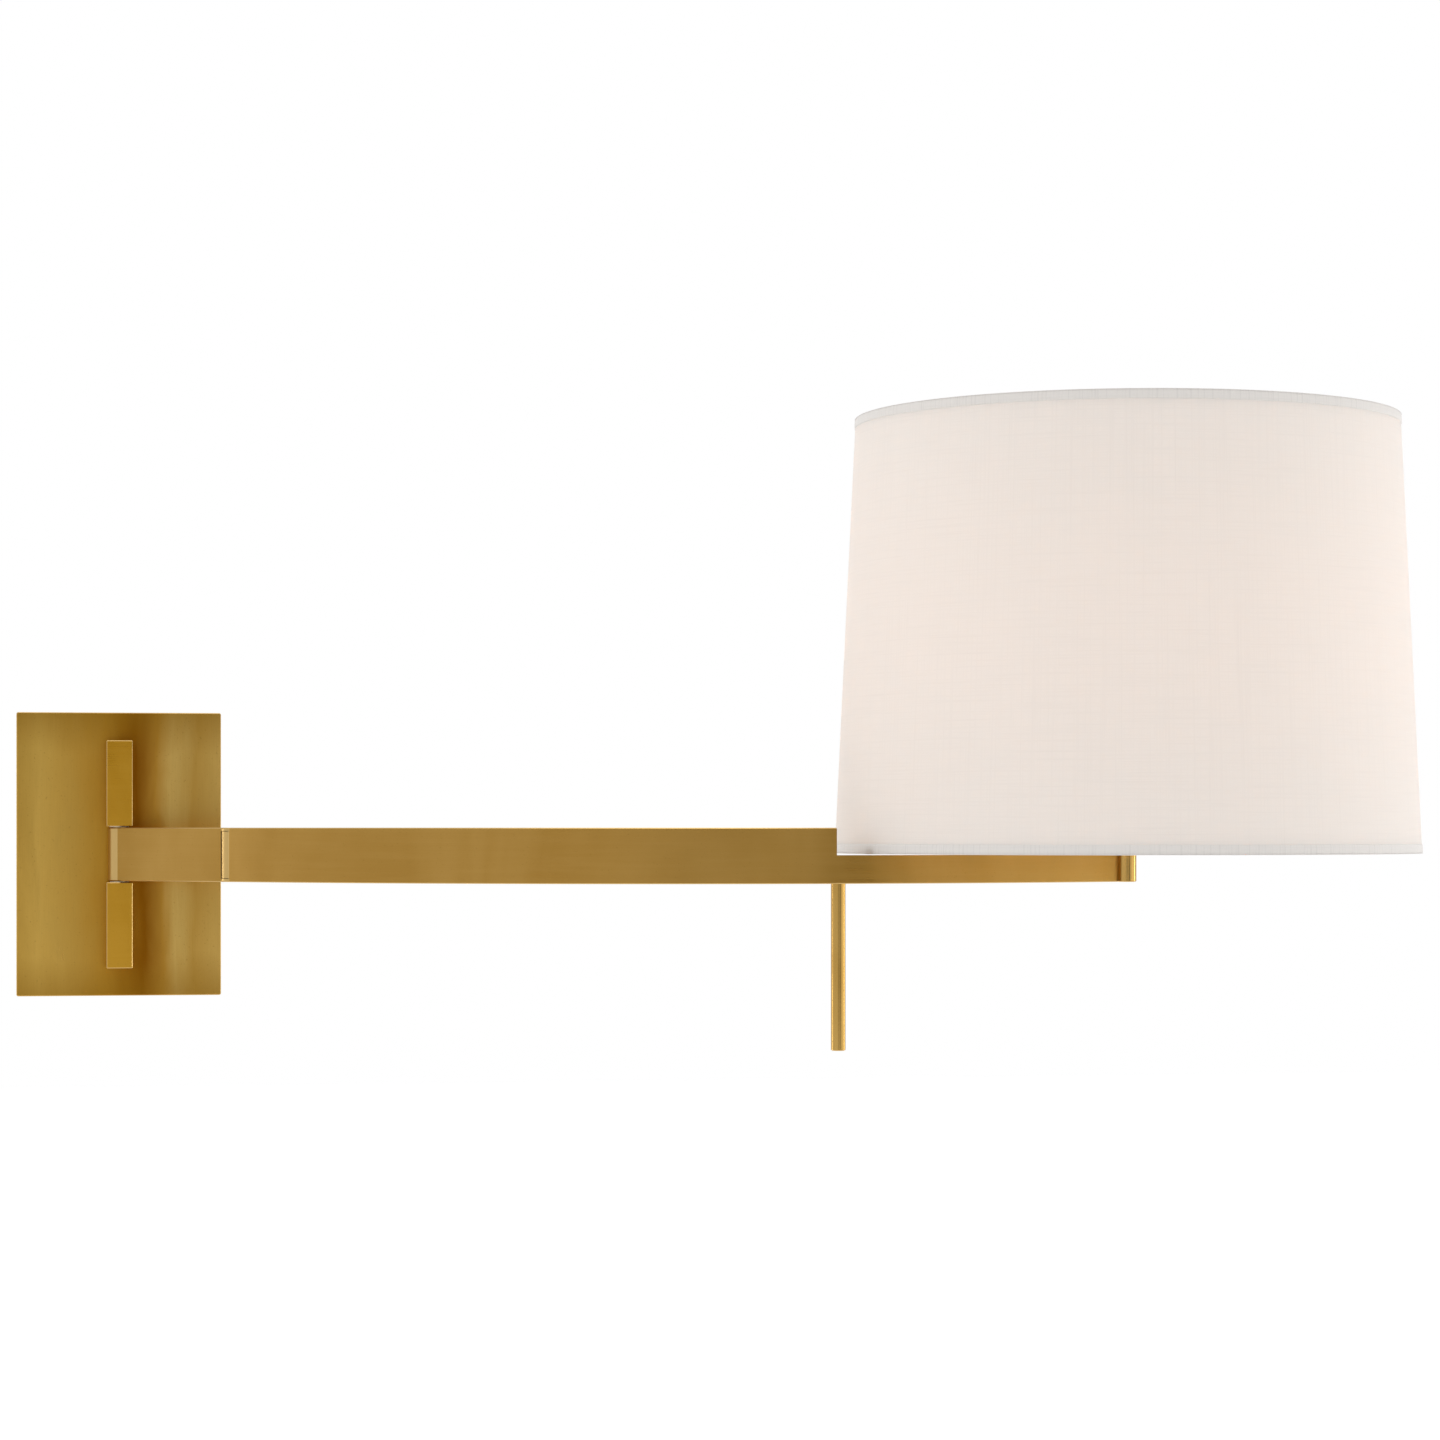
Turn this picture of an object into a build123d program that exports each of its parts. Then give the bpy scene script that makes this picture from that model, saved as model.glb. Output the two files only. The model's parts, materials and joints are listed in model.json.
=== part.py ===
"""Swing arm wall sconce: a wall plate, a two-part flat arm that swings on vertical pins, and a drum shade.

Frame: the origin is the centre of the plate's back face, on the wall. +X runs along the wall to the right,
+Y into the wall and +Z up. The sconce stands out from the wall towards -Y.
"""
import os
from math import acos, asin, cos, degrees, radians, sin

from build123d import *

os.makedirs("parts", exist_ok=True)

# ---------------------------------------------------------------- driving dimensions (mm and degrees)
# wall plate, a shallow case open at the back
PLATE_W = 127.0
PLATE_H = 177.8
PLATE_D = 25.4
PLATE_WALL = 2.0
PLATE_CORNER_R = 1.2
PLATE_EDGE_R = 0.8

# steel strap that is screwed to the junction box
STRAP_W = 24.0
STRAP_T = 2.0
STRAP_TAB_D = 16.0
STRAP_END_GAP = 0.4
BOX_SCREW_SPACING = 88.9
BOX_SLOT_L = 14.0
BOX_SLOT_R = 2.3
SIDE_SCREW_R = 2.0
SIDE_SCREW_L = 7.0
SIDE_SCREW_SINK = 0.3
GROUND_SCREW_Z = -22.0
GROUND_SCREW_R = 2.0

# square hinge blocks on the plate
BLOCK_W = 16.0
BLOCK_H = 53.5
BLOCK_EASE = 0.4
HINGE_STANDOFF = 10.2
HINGE_GAP = 0.9
WASHER_T = 0.5
WASHER_INSET = 0.75
BLOCK_SCREW_R = 2.0
BLOCK_SCREW_HEAD_R = 3.6
BLOCK_SCREW_HEAD_H = 2.4
BLOCK_SCREW_DEPTH = 9.0
BLOCK_SCREW_FROM_END = (6.5, 19.5)

# pins and their fits
PIN_R = 4.0
PIN_WALL = 1.4
PIN_DEPTH = 22.0
ELBOW_PIN_R = 3.5
ELBOW_PIN_WALL = 1.5
PIN_SINK = 0.4
RUN_CLEAR = 0.05
BODY_GAP = 0.35

# arm
ARM_H = 33.2
ARM_T = 12.0
ARM_WALL = 1.5
ARM_EASE = 0.5
BARREL_PROUD = 0.75
LINK_LENGTH = 89.3
LINK_HEADING = 41.2
EAR_H = 2.0
ARM_START_HEADING = 47.73
ARM_RADIUS = 434.2
ARM_LENGTH = 589.3
STEP_BEFORE_RIM = 21.0
POST_R = 6.4
LEAD_HOLE_R = 3.0

# handle rod under the arm
HANDLE_R = 4.4
HANDLE_L = 98.8
HANDLE_STUD_R = 2.0
HANDLE_TIP_CHAMFER = 0.5
HANDLE_BOSS_R = 4.2
HANDLE_BOSS_GAP = 1.2
HANDLE_PAST_STEP = 2.4

# shade
SHADE_BOTTOM = 0.9
SHADE_HEIGHT = 266.9
SHADE_BOTTOM_R = 179.7
SHADE_TOP_R = 166.8
LINER_T = 0.5
LINEN_T = 0.8
TRIM_T = 0.6
TRIM_H = 6.0
RING_WIRE_R = 1.5
RING_FIT = 0.15
RIM_CLEAR = 0.6
SPIDER_DROP = 16.0
SPIDER_HUB_R = 11.0
SPIDER_HUB_T = 2.0
SPIDER_ARMS = 3

# lamp holder
NIPPLE_R = 4.85
NUT_RIM = 2.65
NUT_H = 4.0
SADDLE_T = 1.6
SADDLE_W = 14.0
SADDLE_SIDE_GAP = 8.0
SADDLE_RISE = 24.0
SADDLE_BEND_R = 4.0
CUP_H = 14.0
CUP_T = 1.6
CUP_FOOT = 0.6
SOCKET_H = 42.0
SOCKET_WALL = 0.8
SOCKET_LINER_T = 0.7
SOCKET_BEAD_R = 0.9
CORE_FIT = 1.0
CORE_H = 20.0
SCREW_SHELL_WALL = 0.5
SCREW_SHELL_SPACE = 2.3
SWITCH_Z_IN_CORE = 9.0
SWITCH_SHAFT_R = 2.0
SWITCH_SHAFT_IN = 8.0
SWITCH_KNOB_GAP = 12.0
SWITCH_KNOB_R = 6.5
SWITCH_KNOB_L = 12.0
SWITCH_SLOT_CLEAR = 1.0
SWITCH_FLUTES = 12

# bulb
BULB_BASE_R = 13.2
BULB_BASE_H = 25.0
BULB_R = 30.0
BULB_FIT = 0.5
BULB_NECK_STEP = 1.3
BULB_SHOULDER = 4.0
BULB_L = 108.0
BULB_WALL = 1.0
CONTACT_R = 4.5
CONTACT_H = 3.0

# harp and finial
HARP_WIRE_R = 1.6
HARP_FOOT_OVERLAP = 6.0
HARP_BULB_GAP = 14.0
HARP_CORNER_R = 30.0
HARP_FLARE_H = 42.0
STUD_BASE_R = 6.0
STUD_BASE_H = 5.6
STUD_R = 3.1
STUD_L = 10.0
FINIAL_R = 8.0
FINIAL_H = 15.0
FINIAL_COLLAR_H = 2.0
FINIAL_BALL_R = 6.0

# wiring
WIRE_R = 1.1
LEAD_R = 1.5
LEAD_BEND_R = 5.0
WIRE_ROW_Y = -13.0
NUT_CAP_R = 6.0
NUT_CAP_TIP_R = 4.0
NUT_CAP_L = 20.0

# ---------------------------------------------------------------- derived places
HALF_H = ARM_H / 2
BARREL_R = ARM_T / 2 + BARREL_PROUD
HINGE = Vector(0, -(PLATE_D + HINGE_STANDOFF), 0)
LINK_DIRECTION = Vector(cos(radians(LINK_HEADING)), -sin(radians(LINK_HEADING)), 0)
ELBOW = HINGE + LINK_DIRECTION * LINK_LENGTH
ARM_START_ANGLE = -ARM_START_HEADING - 90
ARM_CENTRE = ELBOW - Vector(cos(radians(ARM_START_ANGLE)), sin(radians(ARM_START_ANGLE)), 0) * ARM_RADIUS


def arm_angle(station):
    """The angle about the arm's centre of curvature of a place this far along the arm from the elbow."""
    return ARM_START_ANGLE + degrees(station / ARM_RADIUS)


def arm_point(station, z=0.0):
    """A point on the arm's centre line, this far from the elbow."""
    angle = radians(arm_angle(station))
    return ARM_CENTRE + Vector(cos(angle), sin(angle), 0) * ARM_RADIUS + Vector(0, 0, z)


def arm_plane(station, z=0.0):
    """A plane across the arm there: its normal runs along the arm, away from the elbow."""
    angle = radians(arm_angle(station))
    outward = (cos(angle), sin(angle), 0)
    onward = (-sin(angle), cos(angle), 0)
    return Plane(origin=arm_point(station, z), x_dir=outward, z_dir=onward)


def arm_band(thickness, start, end):
    """The plan outline of the curved arm between two stations."""
    with BuildSketch() as band:
        with BuildLine():
            sweep_angle = arm_angle(end) - arm_angle(start)
            outer = CenterArc(ARM_CENTRE, ARM_RADIUS + thickness / 2, arm_angle(start), sweep_angle)
            inner = CenterArc(ARM_CENTRE, ARM_RADIUS - thickness / 2, arm_angle(start), sweep_angle)
            Line(outer @ 0, inner @ 0)
            Line(outer @ 1, inner @ 1)
        make_face()
    return band.sketch


# the post's axis lies in the bar's outer face, and the bar runs on behind the post
OUTWARD = (arm_point(ARM_LENGTH) - ARM_CENTRE).normalized()
POST = arm_point(ARM_LENGTH) + OUTWARD * (ARM_T / 2)
POST_ORBIT = ARM_RADIUS + ARM_T / 2
STEP_REACH = SHADE_BOTTOM_R + STEP_BEFORE_RIM
STEP_COSINE = (ARM_RADIUS**2 + POST_ORBIT**2 - STEP_REACH**2) / (2 * ARM_RADIUS * POST_ORBIT)
STEP_STATION = ARM_LENGTH - ARM_RADIUS * acos(STEP_COSINE)
HANDLE_STATION = STEP_STATION + HANDLE_PAST_STEP
TONGUE_TOP = SHADE_BOTTOM - RIM_CLEAR
LEAD_Z = (TONGUE_TOP - HALF_H) / 2
BOSS_TOP = LEAD_Z - LEAD_R - HANDLE_BOSS_GAP
NIPPLE_Z = LEAD_Z + LEAD_BEND_R
BLOCK_Z = HALF_H + HINGE_GAP
BLOCK_D = HINGE_STANDOFF + BLOCK_W / 2
BLOCK_SCREW_Z = [BLOCK_Z + BLOCK_H - back for back in BLOCK_SCREW_FROM_END]
PIN_END_Z = BLOCK_Z + PIN_DEPTH
PASSAGE_Z = -(PIN_END_Z + LEAD_BEND_R)
LINK_PLANE = Plane(origin=HINGE, x_dir=LINK_DIRECTION, z_dir=(0, 0, 1))

SCREW_SHELL_R = BULB_BASE_R + BULB_FIT + SCREW_SHELL_WALL
SOCKET_R = SCREW_SHELL_R + SCREW_SHELL_SPACE + SOCKET_LINER_T + SOCKET_WALL
CORE_R = SOCKET_R - SOCKET_WALL - SOCKET_LINER_T - CORE_FIT
SADDLE_REACH = SOCKET_R + SADDLE_SIDE_GAP
SWITCH_REACH = SOCKET_R + SWITCH_KNOB_GAP
BULB_NECK_R = BULB_BASE_R + BULB_NECK_STEP
HARP_HALF_W = BULB_R + HARP_BULB_GAP
SADDLE_Z = HALF_H + NUT_H
CUP_Z = SADDLE_Z + SADDLE_T
SHELL_Z = CUP_Z + CUP_H
SHELL_TOP = SHELL_Z + SOCKET_H
SWITCH_Z = SHELL_Z + SWITCH_Z_IN_CORE
CORE_TOP = SHELL_Z + CORE_H
BULB_Z = CORE_TOP + CONTACT_H
SHADE_TOP = SHADE_BOTTOM + SHADE_HEIGHT
HUB_Z = SHADE_TOP - SPIDER_DROP
STUD_TOP_Z = HUB_Z + STUD_L
HARP_TOP_Z = HUB_Z - STUD_BASE_H / 2
HARP_FOOT_Z = SADDLE_Z + SADDLE_RISE - HARP_FOOT_OVERLAP


def at_post(z):
    """The level plane at this height, centred on the shade's axis."""
    return Plane(origin=(POST.X, POST.Y, z))


def shade_radius(z):
    """The shade's outermost radius at this height."""
    return SHADE_BOTTOM_R + (SHADE_TOP_R - SHADE_BOTTOM_R) * (z - SHADE_BOTTOM) / SHADE_HEIGHT


def cone_wall(inset, thickness, low, high):
    """The half section of one layer of the shade, inset from its outermost surface."""
    with BuildSketch(Plane(origin=POST, x_dir=(1, 0, 0), z_dir=(0, -1, 0))) as section:
        with BuildLine():
            Polyline(
                (shade_radius(low) - inset, low),
                (shade_radius(high) - inset, high),
                (shade_radius(high) - inset - thickness, high),
                (shade_radius(low) - inset - thickness, low),
                close=True,
            )
        make_face()
    return section.sketch


POST_AXIS = Axis(POST, (0, 0, 1))

# ================================================================ wall side
# ---- mounting strap: a bent steel strip behind the plate, with slots for the box screws
with BuildPart() as mounting_strap:
    strap_half = PLATE_H / 2 - PLATE_WALL - STRAP_END_GAP
    with BuildSketch(Plane.XZ):
        Rectangle(STRAP_W, 2 * strap_half)
    extrude(amount=STRAP_T)
    for side in (1, -1):
        with BuildSketch(Plane.XZ):
            with Locations((0, side * (strap_half - STRAP_T / 2))):
                Rectangle(STRAP_W, STRAP_T)
        extrude(amount=STRAP_TAB_D)
    with BuildSketch(Plane.XZ):
        with Locations((0, GROUND_SCREW_Z)):
            Circle(GROUND_SCREW_R)
        with Locations((0, BOX_SCREW_SPACING / 2), (0, -BOX_SCREW_SPACING / 2)):
            SlotOverall(BOX_SLOT_L, 2 * BOX_SLOT_R, rotation=90)
    extrude(amount=STRAP_T, mode=Mode.SUBTRACT)
    with BuildSketch(Plane.XY.offset(-strap_half)):
        with Locations((0, -STRAP_TAB_D / 2)):
            Circle(SIDE_SCREW_R)
    extrude(amount=2 * strap_half, mode=Mode.SUBTRACT)
mounting_strap.part.label = "mounting_strap"
export_step(mounting_strap.part, "parts/mounting_strap.step")

# ---- ground screw: a washer-head screw in the strap
with BuildPart() as ground_screw:
    ground_head_h = 2.6
    with BuildSketch(Plane.XZ.offset(STRAP_T)):
        with Locations((0, GROUND_SCREW_Z)):
            Circle(2 * GROUND_SCREW_R)
    extrude(amount=ground_head_h)
    with BuildSketch(Plane.XZ):
        with Locations((0, GROUND_SCREW_Z)):
            Circle(GROUND_SCREW_R)
    extrude(amount=STRAP_T)
    with BuildSketch(Plane.XZ.offset(STRAP_T + ground_head_h)):
        with Locations((0, GROUND_SCREW_Z)):
            Rectangle(3 * GROUND_SCREW_R, GROUND_SCREW_R / 2)
    extrude(amount=-ground_head_h / 2, mode=Mode.SUBTRACT)
ground_screw.part.label = "ground_screw"
export_step(ground_screw.part, "parts/ground_screw.step")

# ---- backplate: the shallow brass case over the strap
with BuildPart() as backplate:
    with BuildSketch(Plane.XZ):
        RectangleRounded(PLATE_W, PLATE_H, PLATE_CORNER_R)
    extrude(amount=PLATE_D)
    fillet(backplate.faces().sort_by(Axis.Y)[0].edges(), PLATE_EDGE_R)
    with BuildSketch(Plane.XZ):
        Rectangle(PLATE_W - 2 * PLATE_WALL, PLATE_H - 2 * PLATE_WALL)
    extrude(amount=PLATE_D - PLATE_WALL, mode=Mode.SUBTRACT)
    with BuildSketch(Plane.XZ.offset(PLATE_D)):
        for side in (1, -1):
            with Locations(*[(0, side * z) for z in BLOCK_SCREW_Z]):
                Circle(BLOCK_SCREW_R)
        with Locations((0, PASSAGE_Z)):
            Circle(LEAD_HOLE_R)
    extrude(amount=-PLATE_WALL, mode=Mode.SUBTRACT)
    with BuildSketch(Plane.XY.offset(-PLATE_H / 2)):
        with Locations((0, -STRAP_TAB_D / 2)):
            Circle(SIDE_SCREW_R)
    extrude(amount=PLATE_H, mode=Mode.SUBTRACT)
backplate.part.label = "backplate"
export_step(backplate.part, "parts/backplate.step")

# ---- side screws: headless screws through the case's top and bottom edges into the strap's tabs
with BuildPart() as side_screws:
    for side in (1, -1):
        tip = side * (PLATE_H / 2 - SIDE_SCREW_SINK)
        with BuildSketch(Plane.XY.offset(tip)):
            with Locations((0, -STRAP_TAB_D / 2)):
                Circle(SIDE_SCREW_R)
        extrude(amount=-side * SIDE_SCREW_L)
        with BuildSketch(Plane.XY.offset(tip)):
            with Locations((0, -STRAP_TAB_D / 2)):
                RegularPolygon(SIDE_SCREW_R / 2, 6)
        extrude(amount=-side * SIDE_SCREW_L / 3, mode=Mode.SUBTRACT)
side_screws.part.label = "side_screws"
export_step(side_screws.part, "parts/side_screws.step")

# ---- hinge blocks: square bars above and below the arm, bored for the hinge pin
for block_name, side in (("upper_knuckle", 1), ("lower_knuckle", -1)):
    with BuildPart() as block:
        with BuildSketch(Plane.XY.offset(side * BLOCK_Z)):
            with Locations((0, -PLATE_D - BLOCK_D / 2)):
                Rectangle(BLOCK_W, BLOCK_D)
        extrude(amount=side * BLOCK_H)
        chamfer(block.edges(), BLOCK_EASE)
        with BuildSketch(Plane.XY.offset(side * BLOCK_Z)):
            with Locations((HINGE.X, HINGE.Y)):
                Circle(PIN_R)
        extrude(amount=side * PIN_DEPTH, mode=Mode.SUBTRACT)
        with BuildSketch(Plane.XZ.offset(PLATE_D)):
            with Locations(*[(0, side * z) for z in BLOCK_SCREW_Z]):
                Circle(BLOCK_SCREW_R)
        extrude(amount=BLOCK_SCREW_DEPTH, mode=Mode.SUBTRACT)
        if side < 0:
            with BuildSketch(Plane.XY.offset(PASSAGE_Z)):
                with Locations((HINGE.X, HINGE.Y)):
                    Circle(LEAD_HOLE_R)
            extrude(amount=-PASSAGE_Z - PIN_END_Z, mode=Mode.SUBTRACT)
            with BuildSketch(Plane.XZ.offset(PLATE_D)):
                with Locations((0, PASSAGE_Z)):
                    Circle(LEAD_HOLE_R)
            extrude(amount=HINGE_STANDOFF + LEAD_HOLE_R, mode=Mode.SUBTRACT)
    block.part.label = block_name
    export_step(block.part, f"parts/{block_name}.step")

# ---- block screws: two for each block, driven from inside the case
with BuildPart() as block_screws:
    screw_places = [(0, side * z) for side in (1, -1) for z in BLOCK_SCREW_Z]
    with BuildSketch(Plane.XZ.offset(PLATE_D - PLATE_WALL)):
        with Locations(*screw_places):
            Circle(BLOCK_SCREW_R)
    extrude(amount=PLATE_WALL + BLOCK_SCREW_DEPTH)
    with BuildSketch(Plane.XZ.offset(PLATE_D - PLATE_WALL)):
        with Locations(*screw_places):
            Circle(BLOCK_SCREW_HEAD_R)
    extrude(amount=-BLOCK_SCREW_HEAD_H)
    with BuildSketch(Plane.XZ.offset(PLATE_D - PLATE_WALL - BLOCK_SCREW_HEAD_H)):
        with Locations(*screw_places):
            Rectangle(BLOCK_SCREW_HEAD_R, BLOCK_SCREW_HEAD_R / 4)
            Rectangle(BLOCK_SCREW_HEAD_R / 4, BLOCK_SCREW_HEAD_R)
    extrude(amount=BLOCK_SCREW_HEAD_H / 2, mode=Mode.SUBTRACT)
block_screws.part.label = "block_screws"
export_step(block_screws.part, "parts/block_screws.step")

# ---- hinge pin: a hollow pin pressed into both blocks, with a window where the wires leave it
with BuildPart() as hinge_pin:
    with BuildSketch(Plane(origin=HINGE)):
        Circle(PIN_R)
        Circle(PIN_R - PIN_WALL, mode=Mode.SUBTRACT)
    extrude(amount=PIN_END_Z, both=True)
    with BuildSketch(Plane(origin=HINGE, x_dir=(0, 0, 1), z_dir=LINK_DIRECTION)):
        SlotOverall(HALF_H, 2 * (PIN_R - PIN_WALL))
    extrude(amount=PIN_R, mode=Mode.SUBTRACT)
hinge_pin.part.label = "hinge_pin"
export_step(hinge_pin.part, "parts/hinge_pin.step")

# ---- hinge washers: thin washers against the blocks, above and below the arm's barrel
with BuildPart() as hinge_washers:
    for side in (1, -1):
        with BuildSketch(Plane(origin=HINGE + Vector(0, 0, side * BLOCK_Z))):
            Circle(BARREL_R - WASHER_INSET)
            Circle(PIN_R, mode=Mode.SUBTRACT)
        extrude(amount=-side * WASHER_T)
hinge_washers.part.label = "hinge_washers"
export_step(hinge_washers.part, "parts/hinge_washers.step")

# ---- live and neutral wires: from their connectors in the case, through the lower block, into the pin
wire_ends = []
for wire_name, side in (("live_wire", 1), ("neutral_wire", -1)):
    wire_x = side * (WIRE_R + RUN_CLEAR)
    nut_x = side * (STRAP_W + WIRE_R)
    nut_z = -NUT_CAP_L / 2
    with BuildPart() as wire:
        with BuildLine() as wire_route:
            FilletPolyline(
                (wire_x, HINGE.Y, -HALF_H / 2),
                (wire_x, HINGE.Y, PASSAGE_Z),
                (wire_x, WIRE_ROW_Y, PASSAGE_Z),
                (nut_x, WIRE_ROW_Y, PASSAGE_Z),
                (nut_x, WIRE_ROW_Y, nut_z),
                radius=[LEAD_BEND_R - WIRE_R, 2 * LEAD_BEND_R, 2 * LEAD_BEND_R],
            )
        with BuildSketch(Plane(origin=wire_route.line @ 0, z_dir=wire_route.line % 0)):
            Circle(WIRE_R)
        sweep()
    wire.part.label = wire_name
    export_step(wire.part, f"parts/{wire_name}.step")
    wire_ends.append((nut_x, nut_z))

# ---- ground wire: from the ground screw to its connector
ground_x = -(2 * STRAP_W - 3 * WIRE_R)
with BuildPart() as ground_wire:
    with BuildLine() as ground_route:
        FilletPolyline(
            (-2 * GROUND_SCREW_R, -STRAP_T - 2 * WIRE_R, GROUND_SCREW_Z),
            (-STRAP_W, -STRAP_T - 2 * WIRE_R, GROUND_SCREW_Z),
            (ground_x, WIRE_ROW_Y, GROUND_SCREW_Z),
            (ground_x, WIRE_ROW_Y, NUT_CAP_L / 2),
            radius=[2 * LEAD_BEND_R, 2 * LEAD_BEND_R],
        )
    with BuildSketch(Plane(origin=ground_route.line @ 0, z_dir=ground_route.line % 0)):
        Circle(WIRE_R)
    sweep()
ground_wire.part.label = "ground_wire"
export_step(ground_wire.part, "parts/ground_wire.step")
wire_ends.append((ground_x, NUT_CAP_L / 2))

# ---- wire connectors: twist-on caps over the three wire ends
with BuildPart() as wire_connectors:
    for cap_x, cap_z in wire_ends:
        with BuildSketch(Plane(origin=(cap_x, WIRE_ROW_Y, cap_z))):
            Circle(NUT_CAP_R)
        with BuildSketch(Plane(origin=(cap_x, WIRE_ROW_Y, cap_z + NUT_CAP_L))):
            Circle(NUT_CAP_TIP_R)
        loft()
wire_connectors.part.label = "wire_connectors"
export_step(wire_connectors.part, "parts/wire_connectors.step")

# ================================================================ inner link
# ---- inner link: a flat hollow bar with a barrel at the wall and two ears at the elbow
with BuildPart() as inner_link:
    with BuildSketch(LINK_PLANE):
        with Locations((LINK_LENGTH / 2, 0)):
            Rectangle(LINK_LENGTH, ARM_T)
        with Locations((0, 0), (LINK_LENGTH, 0)):
            Circle(BARREL_R)
    extrude(amount=HALF_H, both=True)
    chamfer(inner_link.faces().sort_by(Axis.Z)[0].edges(), ARM_EASE)
    chamfer(inner_link.faces().sort_by(Axis.Z)[-1].edges(), ARM_EASE)
    with BuildSketch(LINK_PLANE):
        cavity_start = BARREL_R + ARM_WALL
        cavity_end = LINK_LENGTH - BARREL_R - BODY_GAP - ARM_WALL
        with Locations(((cavity_start + cavity_end) / 2, 0)):
            Rectangle(cavity_end - cavity_start, ARM_T - 2 * ARM_WALL)
    extrude(amount=HALF_H - EAR_H, both=True, mode=Mode.SUBTRACT)
    with BuildSketch(LINK_PLANE):
        with Locations((LINK_LENGTH, 0)):
            Circle(BARREL_R + BODY_GAP)
    extrude(amount=HALF_H - EAR_H, both=True, mode=Mode.SUBTRACT)
    with BuildSketch(LINK_PLANE):
        Circle(PIN_R + RUN_CLEAR)
        with Locations((LINK_LENGTH, 0)):
            Circle(ELBOW_PIN_R)
    extrude(amount=HALF_H, both=True, mode=Mode.SUBTRACT)
    with BuildSketch(Plane(origin=HINGE, x_dir=(0, 0, 1), z_dir=LINK_DIRECTION)):
        Circle(LEAD_HOLE_R)
    extrude(amount=LINK_LENGTH, mode=Mode.SUBTRACT)
inner_link.part.label = "inner_link"
export_step(inner_link.part, "parts/inner_link.step")

# ---- elbow pin: a hollow pin pressed into the link's ears
with BuildPart() as elbow_pin:
    with BuildSketch(Plane(origin=ELBOW)):
        Circle(ELBOW_PIN_R)
        Circle(ELBOW_PIN_R - ELBOW_PIN_WALL, mode=Mode.SUBTRACT)
    extrude(amount=HALF_H - PIN_SINK, both=True)
    with BuildSketch(Plane(origin=ELBOW, x_dir=(0, 0, 1), z_dir=LINK_DIRECTION)):
        Circle(ELBOW_PIN_R - ELBOW_PIN_WALL)
    extrude(amount=ELBOW_PIN_R, both=True, mode=Mode.SUBTRACT)
elbow_pin.part.label = "elbow_pin"
export_step(elbow_pin.part, "parts/elbow_pin.step")

# ---- elbow caps: two small discs that close the bored ends of the ears
with BuildPart() as elbow_caps:
    for side in (1, -1):
        with BuildSketch(Plane(origin=ELBOW + Vector(0, 0, side * HALF_H))):
            Circle(ELBOW_PIN_R)
        extrude(amount=-side * PIN_SINK)
elbow_caps.part.label = "elbow_caps"
export_step(elbow_caps.part, "parts/elbow_caps.step")

# ---- link lead: the stretch of sheathed lead inside the inner link
with BuildPart() as link_lead:
    lead_start = PIN_R + BODY_GAP
    lead_end = LINK_LENGTH - BARREL_R - BODY_GAP
    with BuildSketch(Plane(origin=HINGE + LINK_DIRECTION * lead_start, z_dir=LINK_DIRECTION)):
        Circle(LEAD_R)
    extrude(amount=lead_end - lead_start)
link_lead.part.label = "link_lead"
export_step(link_lead.part, "parts/link_lead.step")

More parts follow.
